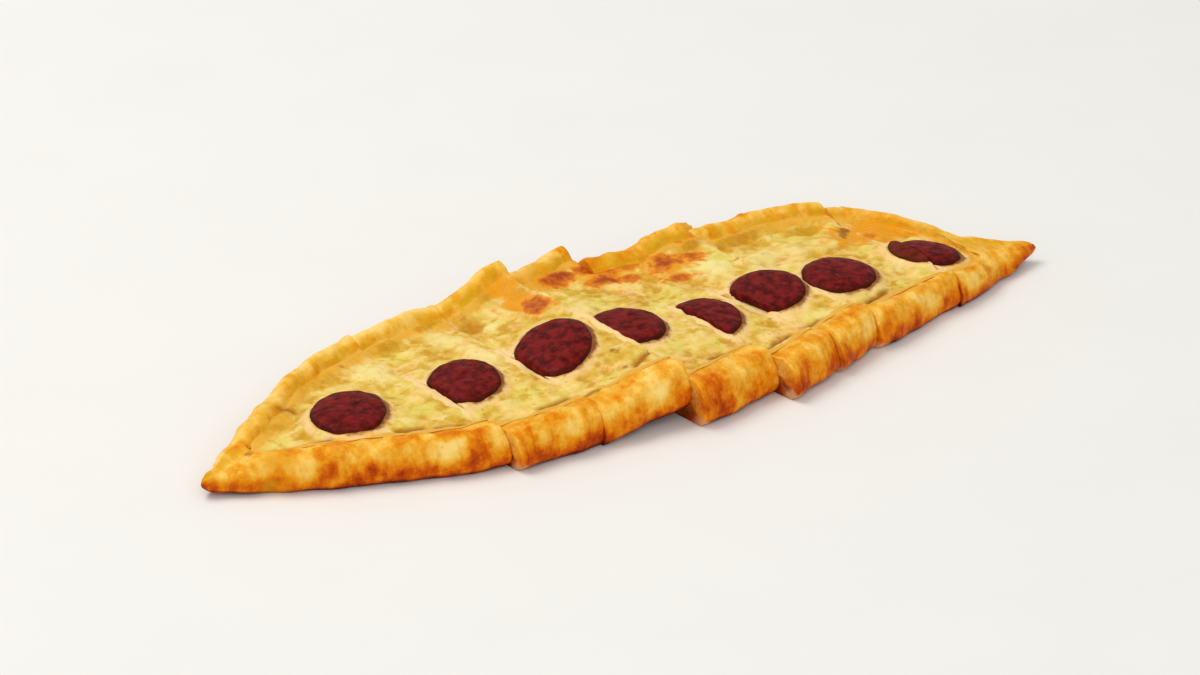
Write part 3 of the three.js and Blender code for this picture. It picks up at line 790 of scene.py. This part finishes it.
def make_crust(index, material):
    s = fractions(index)
    st = stations_at(index, s)
    rings, way, is_front = crust_rings(index, s, st)
    bake = crust_bake(rings, st.curl + lift(index, s), way, is_front, st)
    bake[:, way < 0] = 0.85  # the underside
    vertices, faces, cut_faces = capped(index, rings, CRUST_GRID, 100 + index)
    raised = lift(index, s).mean()
    below = np.arange(len(way)) > len(way) - sum(BASE_STEPS)
    skin = np.flatnonzero((way <= 1) & ((way >= 0) | below))
    brown = np.concatenate([bake.ravel(), np.full(len(vertices) - bake.size, 0.3)])
    crumb = shade_cut_faces(vertices, cut_faces, skin, raised, brown)
    for (_, ring), is_cut in zip(cut_faces, (index > 0, index < LAST)):
        crumb[ring[way > 1]] = is_cut
    ochre = np.zeros(len(vertices))
    ochre[:bake.size] = crust_ochre(rings, way, is_front).ravel()
    # painted shade in the crevices, on the rims' inner slopes
    gap = np.zeros(len(vertices))
    gap[:bake.size] = (crevices(rings) * smooth(way, 0.7, 0.84)).ravel()
    piece_from(
        f"baked_crust_{index + 1}", vertices, faces, f"crust_{index + 1}", "crust", material,
        bake=brown, crumb=crumb, ochre=ochre, gold=marked(vertices, GOLDEN),
        flour=corner_flour(vertices, vertices[:, 2] - raised), gap=gap,
    )


# ---------------- cheese
def offset_chain(chain, distance):
    """Moves open chains of points sideways, keeping their corners mitred."""
    step = np.diff(chain, axis=1)
    step /= np.linalg.norm(step, axis=-1, keepdims=True) + 1e-9
    before = np.concatenate([step[:, :1], step], axis=1)
    after = np.concatenate([step, step[:, -1:]], axis=1)
    both = before + after
    normal = np.stack([-both[..., 1], both[..., 0]], -1)
    normal /= np.linalg.norm(normal, axis=-1, keepdims=True) + 1e-9
    mitre = np.maximum(0.5, np.sqrt((1 + np.sum(before * after, -1)) / 2))
    return chain + normal * (distance / mitre)[..., None]


def cheese_level(st, y):
    """The level of the cheese without its hollows, higher along the middle."""
    half = np.maximum((st.inner_back - st.inner_front) / 2, 1)
    out = np.clip((y - (st.inner_back + st.inner_front) / 2) / half, -1, 1)
    return st.cheese + CHEESE_CROWN * st.open * (1 - out * out)


def cheese_freedom(x, y):
    """0 under and just round a sucuk, where the cheese stays level, else 1."""
    free = np.ones(np.shape(x))
    for item in ROUNDS:
        out = np.hypot(x - item.x, y - item.y) - item.along
        free = np.minimum(free, smooth(out, 2, ROUND_CLEAR))
    return free


def near_sucuk(index, x, y):
    """mm from the edge of the nearest sucuk on this slice, less than 0 under it."""
    nearest = np.full(np.shape(x), 99.0)
    for item in ROUNDS:
        if item.slice == index:
            nearest = np.minimum(nearest, round_distance(item, x, y)[1])
    return nearest


def cheese_relief(index, points, st):
    """Melted lumps, edges that cling to lips and sucuk, and crevices, in mm."""
    x, y = points[..., 0], points[..., 1]
    flat = points * (1, 1, 0)
    soft = 0.85 * rough(flat, 10, 41, 2) + 0.34 * rough(flat, 4.2, 43, 2) + 0.08 * lumps(flat, 1.7, 45)
    shreds = 0.3 * smooth(rough(flat, (7, 2.8, 4), 47, 2), 0.1, 0.6)
    bubbles = 0.5 * smooth(lumps(flat, 6.5, 49), 0.45, 0.9)
    out = near_sucuk(index, x, y)
    free = smooth(out, 1, 5)
    uneven = 1 + 0.35 * lumps(flat, 5, 55)
    collar = 1.8 * uneven * smooth(out, -3.2, -1.8) * np.exp(-(np.maximum(out - 0.4, 0) / 2.1) ** 2)
    to_front = y - st.inner_front
    to_back = st.inner_back - y
    hollows = 1.3 * marked(points, OCHRE) * smooth(to_back, 3, 9) - 0.7 * marked(points, CREAM)
    lip = 2.0 * np.exp(-(np.minimum(to_front, to_back) / 3.1) ** 2) * (1 + 0.25 * lumps(flat, 7, 56))
    toast = 0.6 * marked(points, TOASTED) + 0.25 * specks(points)
    melted = (soft + shreds + bubbles + toast - hollows) * free
    return (melted + collar + lip - 1.4 * CRACK.deep * crevices(points)) * st.open


def run_onto_lips(points, st, raised):
    """Lets the edges of the cheese lie on the slopes of the rims, a little way up."""
    edges = ((points[..., 1] - st.inner_front, -1), (st.inner_back - points[..., 1], 1))
    for away, way in edges:
        held = np.exp(-(np.maximum(away, 0) / SPILL.reach) ** 2) * smooth(st.open, CHEESE_ENDS, 0.5)
        points[..., 2] = lerp(points[..., 2], st.cheese + raised + SPILL.height, held)
        points[..., 1] += way * SPILL.out * held


def cheese_rings(index, s, st):
    """The cheese's rings, and how far each point is raised: 0.5 where it isn't, from 0 to 1, which sets
    the painted highlight and shade.
    """
    chain = offset_chain(pocket_chain(st), TOUCH)
    start, end = chain[:, -1], chain[:, 0]
    t = (np.arange(1, TOP_STEPS) / TOP_STEPS)[None, :, None]
    top = lerp(start[:, None], end[:, None], t)
    tall = SimpleNamespace(**{name: value[:, None] for name, value in vars(st).items()})
    y = top[..., 0]
    dip = CHEESE_DIP * (0.5 + 0.5 * wave(tall.x, y * 1.3, 19)) * cheese_freedom(tall.x, y) * tall.open
    top[..., 1] = cheese_level(tall, y) - dip
    rings = place(index, s, np.concatenate([straight(chain, POCKET_STEPS), top], axis=1))
    shown = slice(sum(POCKET_STEPS) + 1, None)
    surface = rings[:, shown]
    settled = surface[..., 2].copy()
    surface[..., 2] += cheese_relief(index, surface, tall)
    run_onto_lips(surface, tall, lift(index, s)[:, None])
    surface[..., 2] -= edge_inset(from_cut(index, surface), CHEESE_ROUND)
    rings[0, :, 0] += TOUCH
    rings[-1, :, 0] -= TOUCH
    raised = np.full(rings.shape[:2], 0.5)
    raised[:, shown] = np.clip(0.5 + 0.35 * (surface[..., 2] - settled), 0, 1)
    return rings, raised


def make_cheese(index, material):
    s = fractions(index)
    s = s[stations_at(index, s).open > CHEESE_ENDS]
    rings, raised = cheese_rings(index, s, stations_at(index, s))
    vertices, faces, cut_faces = capped(index, rings, CHEESE_GRID, 200 + index)
    relief = np.full(len(vertices), 0.5)
    relief[:raised.size] = raised.ravel()
    cut = cut_band(index, vertices)
    for inner, _ in cut_faces:
        cut[inner] = 1
    out = near_sucuk(index, vertices[:, 0], vertices[:, 1])
    halo = smooth(out, 0, 1) * (1 - smooth(out, 2.5, 5.5 + 2 * lumps(vertices, 7, 66)))
    piece_from(
        f"melted_cheese_{index + 1}", vertices, faces, f"cheese_{index + 1}", "cheese", material,
        cut=cut, toast=marked(vertices, TOASTED), speck=specks(vertices),
        fringe=sucuk_fringe(index, vertices, out), halo=halo, lip=lip_shade(index, vertices),
        ochre=marked(vertices, OCHRE), cream=marked(vertices, CREAM),
        gold=marked(vertices, GOLDEN), relief=relief, gap=crevice_shade(index, vertices),
    )


@strongest
def oil_round_sucuk(index, points):
    """0 to 1 in the red oil and painted shadow round each sucuk of a slice, most to its front right."""
    for item in ROUNDS:
        if item.slice == index:
            away = round_distance(item, points[:, 0], points[:, 1])[1]
            turn = np.arctan2(points[:, 1] - item.y, points[:, 0] - item.x)
            facing = 0.5 + 0.5 * np.cos(turn - math.radians(-15))
            wide = np.maximum(1.2 + 2.6 * facing + 1.4 * lumps(points, 5, 61), 0.9)
            yield (0.35 + 0.65 * facing) * (1 - smooth(away, 0.3, wide))


def sucuk_fringe(index, points, out):
    """0 to 1 in the red oil and painted shadow that show: near a sucuk and not right at a cut."""
    near = (out < 9) * smooth(from_cut(index, points), 0.2, 1.8)
    return oil_round_sucuk(index, points) * near


def cut_band(index, points):
    """0 to 1 in the pale band along the cuts, strongest beside a sucuk."""
    ragged = 3.4 + 1.4 * rough(points, 6, 65, 2)
    band = 1 - smooth(from_cut(index, points), ragged * 0.5, ragged * 1.3)
    beside = patches(points, [(item.x, item.y, 30, 26, 1) for item in ROUNDS], 1, 0.55, 1.15)
    return band * lerp(0.3, 1, beside)


def lip_shade(index, points):
    """0 to 1 where the cheese meets a rim or a pointed end, golden and oily there."""
    st = stations_at(index, fraction_at(index, points[:, 0], points[:, 1]))
    wide = 5.5 + 3.2 * lumps(points, 9, 63)
    front = 1 - smooth(points[:, 1] - st.inner_front, 0.4, wide)
    back = 1 - smooth(st.inner_back - points[:, 1], 0.8, wide * 1.4)
    narrow = 1 - smooth(st.open + 0.12 * lumps(points, 6, 64), 0.3, 0.75)
    return np.maximum(np.maximum(front, back), narrow)


def crevice_shade(index, points):
    """0 to 1 for the painted shade in the crevices and down the one cut that gapes."""
    along = smooth(points[:, 1], 43, 47) * (1 - smooth(points[:, 1], 60, 67))
    gaping = along * np.exp(-((points[:, 0] - cut_x(2, "left", points[:, 1])) / 1.3) ** 2)
    return np.maximum(crevices(points), gaping if index == 2 else 0)


# ---------------- sucuk
AROUND = 132  # mesh steps round a sucuk
INWARD = 40  # mesh steps from its edge to its middle
UNDER_EDGE = 0.985  # the underside's size as a share of the round's


def sucuk_outline(item):
    """The middle of what is left of a cut round, and how far its edge is from there each way."""
    turn = np.linspace(0, 2 * math.pi, 721)[:-1]
    uneven = out_of_round(item, turn)
    along, across = item.along * uneven * np.cos(turn), item.across * uneven * np.sin(turn)
    x = item.x + along * math.cos(SLANT) - across * math.sin(SLANT)
    y = item.y + along * math.sin(SLANT) + across * math.cos(SLANT)
    kept = (x >= cut_x(item.slice, "left", y)) & (x <= cut_x(item.slice, "right", y))
    hub = np.array([x[kept].mean(), y[kept].mean()])
    angles = np.linspace(0, 2 * math.pi, AROUND + 1)[:-1]
    steps = np.arange(0, 50, 0.05)
    reach = np.zeros(AROUND)
    for i, angle in enumerate(angles):
        px, py = hub[0] + steps * math.cos(angle), hub[1] + steps * math.sin(angle)
        inside = round_distance(item, px, py)[0] <= 1
        inside &= (px >= cut_x(item.slice, "left", py)) & (px <= cut_x(item.slice, "right", py))
        reach[i] = steps[np.flatnonzero(inside)[-1]]
    spacing = np.arange(-9, 10)
    blur = np.exp(-(spacing / 1.5) ** 2)
    blur /= blur.sum()
    softened = sum(w * np.roll(reach, k) for w, k in zip(blur, spacing))
    return hub, angles, np.minimum(reach + 0.05, softened)


def sucuk_dome(item, share):
    """Height of a round's top over its underside, from the middle, 0, to its edge, 1."""
    rise = item.thick - ROUND_EDGE
    shares = (0, 0.2, 0.4, 0.56, 0.72, 0.84, 0.92, 0.96, 0.985, 1)
    heights = (1, 0.99, 0.95, 0.86, 0.7, 0.42, 0.14, -0.02, -0.16, -0.4)
    edge = np.minimum(np.interp(share, shares, heights), 0) * ROUND_EDGE
    return ROUND_EDGE + rise * np.maximum(np.interp(share, shares, heights), 0) + edge


def sucuk_bed(item, x, y):
    """Height of a round's underside, just over the cheese."""
    s = fraction_at(item.slice, x, y)
    return cheese_level(stations_at(item.slice, s), y) + lift(item.slice, s) + GAP


def sucuk_top(item, flat, share):
    """Height of a round's top over its bed at one ring of points, and how near its edge they are."""
    out = round_distance(item, *flat.T)[0]
    top = sucuk_dome(item, out)
    level = np.concatenate([flat, np.zeros((AROUND, 1))], 1)
    fat = 0.13 * rough(level, 4.2, 51, 2) + 0.1 * smooth(lumps(level, 2.6, 52), 0.2, 0.7)
    wrinkle = 0.24 * rough(level, 7.5, 53, 2)
    rim = 0.28 * np.exp(-((1 - out) / 0.09) ** 2) * (1 + lumps(level, 5, 54))
    steep = smooth(1 - share, 0.0, 0.03)
    return lerp(top * 0.82, top + fat + wrinkle + rim, steep), smooth(out, 0.72, 1.0)


def sucuk_faces(rows):
    """The round's quads, ring by ring, and the triangles that close its top and its underside."""
    faces = [[a, d, c, b] for a, b, c, d in tube_faces(rows, AROUND)]
    last, peak = (rows - 1) * AROUND, rows * AROUND
    for i in range(AROUND):
        j = (i + 1) % AROUND
        faces += [[last + i, last + j, peak], [j, i, peak + 1]]
    return faces


def make_sucuk(item, material):
    hub, angles, reach = sucuk_outline(item)
    heading = np.stack([np.cos(angles), np.sin(angles)], -1)
    inward = 1 - np.linspace(0, 1, INWARD) ** 0.8
    rings, edge = [], []
    for share in (UNDER_EDGE, 1.0):  # the underside's rim and the side's foot
        flat = hub + heading * (reach * share)[:, None]
        foot = sucuk_bed(item, *flat.T) + (share - UNDER_EDGE) * 20
        rings.append(np.concatenate([flat, foot[:, None]], 1))
        edge.append(np.ones(AROUND))
    for share in inward[:-1]:
        flat = hub + heading * (reach * share)[:, None]
        top, near_edge = sucuk_top(item, flat, share)
        rings.append(np.concatenate([flat, (sucuk_bed(item, *flat.T) + top)[:, None]], 1))
        edge.append(near_edge)
    bed = sucuk_bed(item, *hub)
    peak = bed + sucuk_dome(item, round_distance(item, *hub)[0])
    vertices = np.concatenate([*rings, [np.append(hub, peak), np.append(hub, bed)]])
    brown = np.full(len(vertices), 0.5 if item.name == "sucuk_8_left" else 0.0)
    piece_from(
        f"{item.name}_slice", vertices, sucuk_faces(len(rings)), item.name, "sucuk", material,
        edge=np.concatenate([*edge, [0, 0]]), brown=brown,
    )


# ---------------- materials
def linear(red, green, blue):
    """An sRGB colour from 0 to 255 as the linear colour that a shader takes."""
    channels = [c / 255 for c in (red, green, blue)]
    return tuple(c / 12.92 if c <= 0.04045 else ((c + 0.055) / 1.055) ** 2.4 for c in channels) + (1.0,)


class Shader:
    """A material whose nodes are made by short calls."""

    def __init__(self, name, roughness):
        self.material = bpy.data.materials.new(name)
        self.material.use_nodes = True
        self.tree = self.material.node_tree
        self.out = self.tree.nodes["Principled BSDF"]
        self.colour = None  # the colour laid so far
        self.out.inputs["Roughness"].default_value = roughness
        self.coordinates = self.tree.nodes.new("ShaderNodeTexCoord").outputs["Object"]

    def put(self, value, socket):
        """Gives a socket another socket, a number or an sRGB colour from 0 to 255."""
        if isinstance(value, bpy.types.NodeSocket):
            self.tree.links.new(value, socket)
        else:
            socket.default_value = linear(*value) if isinstance(value, tuple) else value

    def node(self, kind, **inputs):
        """A new node whose inputs are given sockets or values."""
        node = self.tree.nodes.new("ShaderNode" + kind)
        for name, value in inputs.items():
            self.put(value, node.inputs[name])
        return node

    def field(self, name):
        node = self.node("Attribute")
        node.attribute_name = name
        return node.outputs["Fac"]

    def noise(self, cell, detail=3.0, stretch=(1, 1, 1), rough=0.5, distortion=0.0):
        """Noise between 0 and 1 with lumps about cell mm wide."""
        start = Vector((0.01 * cell * cell, 0.017 * cell * cell, 0))
        mapping = self.node("Mapping", Vector=self.coordinates, Location=start, Scale=Vector(stretch))
        return self.node(
            "TexNoise", Vector=mapping.outputs["Vector"], Scale=1 / (cell * MM),
            Detail=detail, Roughness=rough, Distortion=distortion,
        ).outputs["Fac"]

    def cells(self, cell):
        """Distance from the middle of scattered cells about cell mm wide."""
        node = self.node("TexVoronoi", Vector=self.coordinates, Scale=1 / (cell * MM), Randomness=1.0)
        return node.outputs["Distance"]

    def math(self, operation, a, b=0.0, clamp=False):
        node = self.node("Math")
        node.operation = operation
        node.use_clamp = clamp
        self.put(a, node.inputs[0])
        self.put(b, node.inputs[1])
        return node.outputs[0]

    def add(self, a, b, clamp=False):
        return self.math("ADD", a, b, clamp)

    def times(self, a, b):
        return self.math("MULTIPLY", a, b)

    def level(self, value, low, high, to_low=0.0, to_high=1.0):
        """value from low to high taken smoothly to to_low and to_high."""
        node = self.node("MapRange", Value=value)
        node.interpolation_type = "SMOOTHSTEP"
        names = ("From Min", "From Max", "To Min", "To Max")
        for name, number in zip(names, (low, high, to_low, to_high)):
            self.put(number, node.inputs[name])
        return node.outputs["Result"]

    def blotches(self, cell, detail, low, high, to_low=0.0, to_high=1.0, **look):
        """Noise taken smoothly from between low and high to between to_low and to_high."""
        return self.level(self.noise(cell, detail, **look), low, high, to_low, to_high)

    def mix(self, share, a, b):
        node = self.node("Mix")
        node.data_type = "RGBA"
        self.put(share, node.inputs[0])
        self.put(a, node.inputs[6])
        self.put(b, node.inputs[7])
        return node.outputs[2]

    def coat(self, share, colour):
        """Lays a colour over the ones laid before, by a share from 0 to 1."""
        self.colour = self.mix(share, self.colour, colour)

    def ramp(self, value, *stops):
        """Colours by value, from stops of a position and an sRGB colour from 0 to 255."""
        node = self.node("ValToRGB", Fac=value)
        node.color_ramp.interpolation = "B_SPLINE"
        elements = node.color_ramp.elements
        while len(elements) < len(stops):
            elements.new(0.5)
        for element, (position, *colour) in zip(elements, stops):
            element.position = position
            element.color = linear(*colour)
        return node.outputs["Color"]

    def bump(self, *layers):
        """Bumps from (height socket, depth in mm), finest last."""
        below = {}
        for height, depth in layers:
            node = self.node("Bump", Distance=depth * MM, Height=height, **below)
            below = {"Normal": node.outputs["Normal"]}
        self.put(below["Normal"], self.out.inputs["Normal"])

    def finish(self, roughness, specular):
        """Gives the shader the colour laid, its roughness and how strongly it shines."""
        self.put(self.colour, self.out.inputs["Base Color"])
        self.put(roughness, self.out.inputs["Roughness"])
        self.put(specular, self.out.inputs["Specular IOR Level"])


def crust_material():
    """Baked dough: pale gold on top to dark brown low down, freckled and blistered."""
    m = Shader("baked dough", 0.5)
    mottle = m.blotches(8.5, 4, 0.3, 0.7, -0.12, 0.12)
    streaks = m.blotches(3.4, 3, 0.3, 0.7, -0.07, 0.07, stretch=(1, 0.3, 0.3))
    fine = m.blotches(1.3, 4, 0.3, 0.7, -0.04, 0.04)
    uneven = m.add(m.add(mottle, streaks), fine)
    # the ramp colours the browning, with its painted shade low down and painted highlights on the rims'
    # tops
    m.colour = m.ramp(
        m.add(m.field("bake"), uneven, clamp=True),
        (0.0, 254, 220, 134),
        (0.16, 250, 202, 92),
        (0.32, 240, 171, 36),
        (0.48, 230, 134, 4),
        (0.64, 206, 84, 0),
        (0.82, 154, 45, 0),
        (1.0, 66, 18, 1),
    )
    # pale blotches on the lighter parts of the crust: partly flour, partly painted highlight
    floury = m.blotches(9.5, 4, 0.52, 0.7, 0, 0.45, distortion=0.6)
    bright = m.level(m.field("bake"), 0.6, 0.3)
    m.coat(m.times(floury, bright), (252, 206, 92))
    golden = m.times(m.field("gold"), m.blotches(5.5, 3, 0.3, 0.6, 0.55, 0.95))
    m.coat(golden, (234, 154, 2))
    m.coat(m.times(m.field("ochre"), m.blotches(6.5, 4, 0.34, 0.64, 0.2, 0.95)), (220, 168, 28))  # oily, with painted shade
    freckles = m.level(m.cells(2.8), 0.08, 0.24, 0.45, 0)
    where = m.blotches(10, 3, 0.5, 0.68)
    m.coat(m.times(freckles, where), (170, 84, 6))
    pores = m.blotches(1.5, 3, 0.35, 0.6, rough=0.7)
    # the crumb colour, kept dark partly as painted shade on the cut faces
    crumb = m.mix(pores, (190, 112, 32), (226, 164, 76))
    m.coat(m.times(m.field("crumb"), 0.8), crumb)
    m.coat(m.times(m.field("flour"), 0.75), (232, 176, 128))
    # painted shade in the crevices
    m.coat(m.times(m.field("gap"), 0.75), (168, 86, 4))
    m.finish(m.blotches(5, 3, 0.35, 0.7, 0.6, 0.38), 0.07)
    m.bump((m.noise(3.2, 4), 0.45), (m.noise(0.8, 4, rough=0.65), 0.12), (m.cells(1.4), 0.05))
    return m.material


def cheese_material():
    """Melted cheese: cream on its lumps and yellow in its hollows as painted highlight and shade,
    golden by the rim, with red oil and painted shadow by the sucuk."""
    m = Shader("melted cheese", 0.42)
    patch = m.blotches(13, 3, 0.38, 0.62, distortion=0.4)
    m.colour = m.mix(patch, (216, 174, 46), (232, 198, 100))
    m.coat(m.blotches(10, 2, 0.5, 0.66, 0, 0.8, distortion=0.4), (246, 198, 120))  # peach
    m.coat(m.blotches(18, 2, 0.46, 0.62, 0, 0.75), (228, 212, 98))  # greenish
    height = m.add(m.field("relief"), m.blotches(4.4, 3, 0.3, 0.7, -0.24, 0.24))
    # painted shade in the cheese's hollows
    m.coat(m.level(height, 0.54, 0.1, 0, 0.85), (198, 142, 8))
    # painted highlight on its lumps
    m.coat(m.level(height, 0.5, 1.0, 0, 0.7), (248, 222, 140))
    flecks = m.blotches(3.4, 4, 0.55, 0.68, 0, 0.75, rough=0.6)
    m.coat(m.times(flecks, m.blotches(15, 2, 0.42, 0.6)), (204, 142, 6))
    dots = m.times(m.level(m.cells(4.2), 0.08, 0.22, 0.6, 0), m.blotches(8, 3, 0.54, 0.66))
    m.coat(dots, (180, 112, 8))
    m.coat(m.times(m.field("cream"), m.blotches(5, 3, 0.3, 0.6, 0.5, 0.95)), (242, 228, 152))  # pale
    ragged = m.blotches(2.8, 4, 0.3, 0.7, -0.16, 0.16)
    golden = m.level(m.add(m.field("lip"), ragged), 0.05, 0.95, 0, 0.9)
    m.coat(golden, (230, 168, 38))
    # the oily yellow-brown hollows along the back rim, darkened with painted shade
    ochre = m.add(m.field("ochre"), ragged)
    oily = m.ramp(ochre, (0.3, 214, 166, 30), (0.7, 204, 150, 18), (1.0, 188, 122, 8))
    m.coat(m.level(ochre, 0.1, 0.8, 0, 0.88), oily)
    m.coat(m.level(m.add(m.field("gold"), ragged), 0.05, 0.8, 0, 0.95), (232, 154, 0))  # warm
    m.coat(m.times(m.field("halo"), m.blotches(6, 3, 0.36, 0.6, 0.1, 0.9)), (248, 206, 140))  # halo
    edge = m.level(m.add(m.field("cut"), ragged), 0.2, 0.7, 0, 0.95)
    m.coat(edge, (248, 212, 148))
    spotted = m.blotches(3.6, 5, 0.34, 0.66, -0.16, 0.24, rough=0.62)
    toast = m.field("toast")
    toast = m.add(toast, m.times(spotted, m.level(toast, 0, 0.3)), clamp=True)
    brown = m.ramp(toast, (0.1, 238, 166, 30), (0.5, 224, 126, 8), (0.95, 168, 68, 2))
    m.coat(m.level(toast, 0.02, 0.4), brown)
    speck = m.level(m.add(m.field("speck"), m.times(ragged, 1.2)), 0.25, 0.95, 0, 0.85)
    m.coat(speck, (144, 80, 0))
    # red-brown oil with painted shadow, to the front right of each sucuk
    oil = m.level(m.add(m.field("fringe"), ragged), 0.1, 0.9)
    m.coat(oil, (140, 78, 14))
    # painted shade in the crevices and in the gaping cut
    m.coat(m.times(m.field("gap"), 0.9), (160, 88, 2))
    m.finish(m.level(m.math("MAXIMUM", oil, golden), 0, 1, 0.46, 0.28), 0.18)
    m.out.inputs["Subsurface Weight"].default_value = 0.05
    m.out.inputs["Subsurface Radius"].default_value = (0.005, 0.003, 0.001)
    m.bump((m.noise(2.2, 4), 0.38), (m.noise(0.7, 3), 0.07))
    return m.material


def sucuk_material():
    """Cooked sucuk: dark red, marbled with fat, nearly black at the edge, oily."""
    m = Shader("cooked sucuk", 0.4)
    grain = m.blotches(3.8, 4, 0.34, 0.66, rough=0.6)
    m.colour = m.mix(grain, (74, 5, 4), (124, 24, 20))
    m.coat(m.blotches(7, 3, 0.5, 0.66, 0, 0.6), (132, 28, 30))  # plum
    m.coat(m.blotches(1.7, 4, 0.62, 0.76, 0, 0.3, distortion=0.8), (150, 54, 40))  # fat
    m.coat(m.blotches(4.6, 3, 0.54, 0.7, 0, 0.6), (50, 5, 5))  # dark
    edge = m.add(m.field("edge"), m.blotches(3, 3, 0.3, 0.7, -0.25, 0.25))
    m.coat(m.level(edge, 0.45, 1.1, 0, 0.85), (66, 20, 5))
    m.coat(m.times(m.field("brown"), m.blotches(4, 3, 0.3, 0.7, 0.4, 1)), (106, 50, 22))  # fried
    m.finish(m.blotches(3, 3, 0.3, 0.7, 0.36, 0.6), 0.06)
    m.bump((m.noise(2.8, 4), 0.25), (m.noise(0.7, 3), 0.06))
    return m.material


# ---------------- the loaf
crust = crust_material()
cheese = cheese_material()
sucuk = sucuk_material()
for number in range(len(SLICES)):
    make_crust(number, crust)
    make_cheese(number, cheese)
for item in ROUNDS:
    make_sucuk(item, sucuk)


# ---------------- floor, light and camera
def make_floor():
    """A wide pale floor just under the loaf."""
    mesh = bpy.data.meshes.new("floor")
    half, z = 6.0, -0.0002
    corners = [(-half, -half, z), (half, -half, z), (half, half, z), (-half, half, z)]
    mesh.from_pydata(corners, [], [(0, 1, 2, 3)])
    look = Shader("pale floor", 0.7)
    look.put(look.mix(look.noise(60, 3), (236, 236, 234), (240, 240, 238)), look.out.inputs["Base Color"])
    mesh.materials.append(look.material)
    added("floor", mesh)


def area_light(name, position, aim, size, watts, colour):
    data = bpy.data.lights.new(name, "AREA")
    data.shape = "RECTANGLE"
    data.size, data.size_y = size
    data.energy = watts
    data.color = colour
    light = added(name, data)
    light.location = position
    light.rotation_euler = (Vector(aim) - Vector(position)).to_track_quat("-Z", "Y").to_euler()


def make_world():
    world = bpy.data.worlds.new("soft room")
    world.use_nodes = True
    background = world.node_tree.nodes["Background"]
    background.inputs["Color"].default_value = (1.0, 0.985, 0.96, 1.0)
    background.inputs["Strength"].default_value = 0.55
    bpy.context.scene.world = world


CAMERA_TURN = math.radians(39.8)  # the camera looks this far right of the loaf's +Y
CAMERA_TILT = math.radians(25.6)  # and this far down
CAMERA_AWAY = 2.025  # metres from the point that it looks at
CAMERA_AIM = Vector(to_frame((9.9, 38.6, 0)))
FIELD_OF_VIEW = math.radians(15)


def make_camera():
    data = bpy.data.cameras.new("camera")
    data.sensor_width = 36
    data.angle = FIELD_OF_VIEW
    data.clip_start, data.clip_end = 0.05, 60
    camera = added("camera", data)
    back = Vector((
        -math.sin(CAMERA_TURN) * math.cos(CAMERA_TILT),
        -math.cos(CAMERA_TURN) * math.cos(CAMERA_TILT),
        math.sin(CAMERA_TILT),
    ))
    camera.location = CAMERA_AIM + back * CAMERA_AWAY
    camera.rotation_euler = (-back).to_track_quat("-Z", "Y").to_euler()
    bpy.context.scene.camera = camera


make_floor()
make_world()
area_light("key", (-0.6, 1.1, 2.3), (0, 0, 0), (1.8, 1.4), 34.5, (1.0, 0.97, 0.92))
area_light("fill", (-1.1, -2.3, 1.9), (0, 0, 0), (2.4, 2.4), 26, (1.0, 0.98, 0.95))
make_camera()
bpy.context.scene.view_settings.view_transform = "Standard"
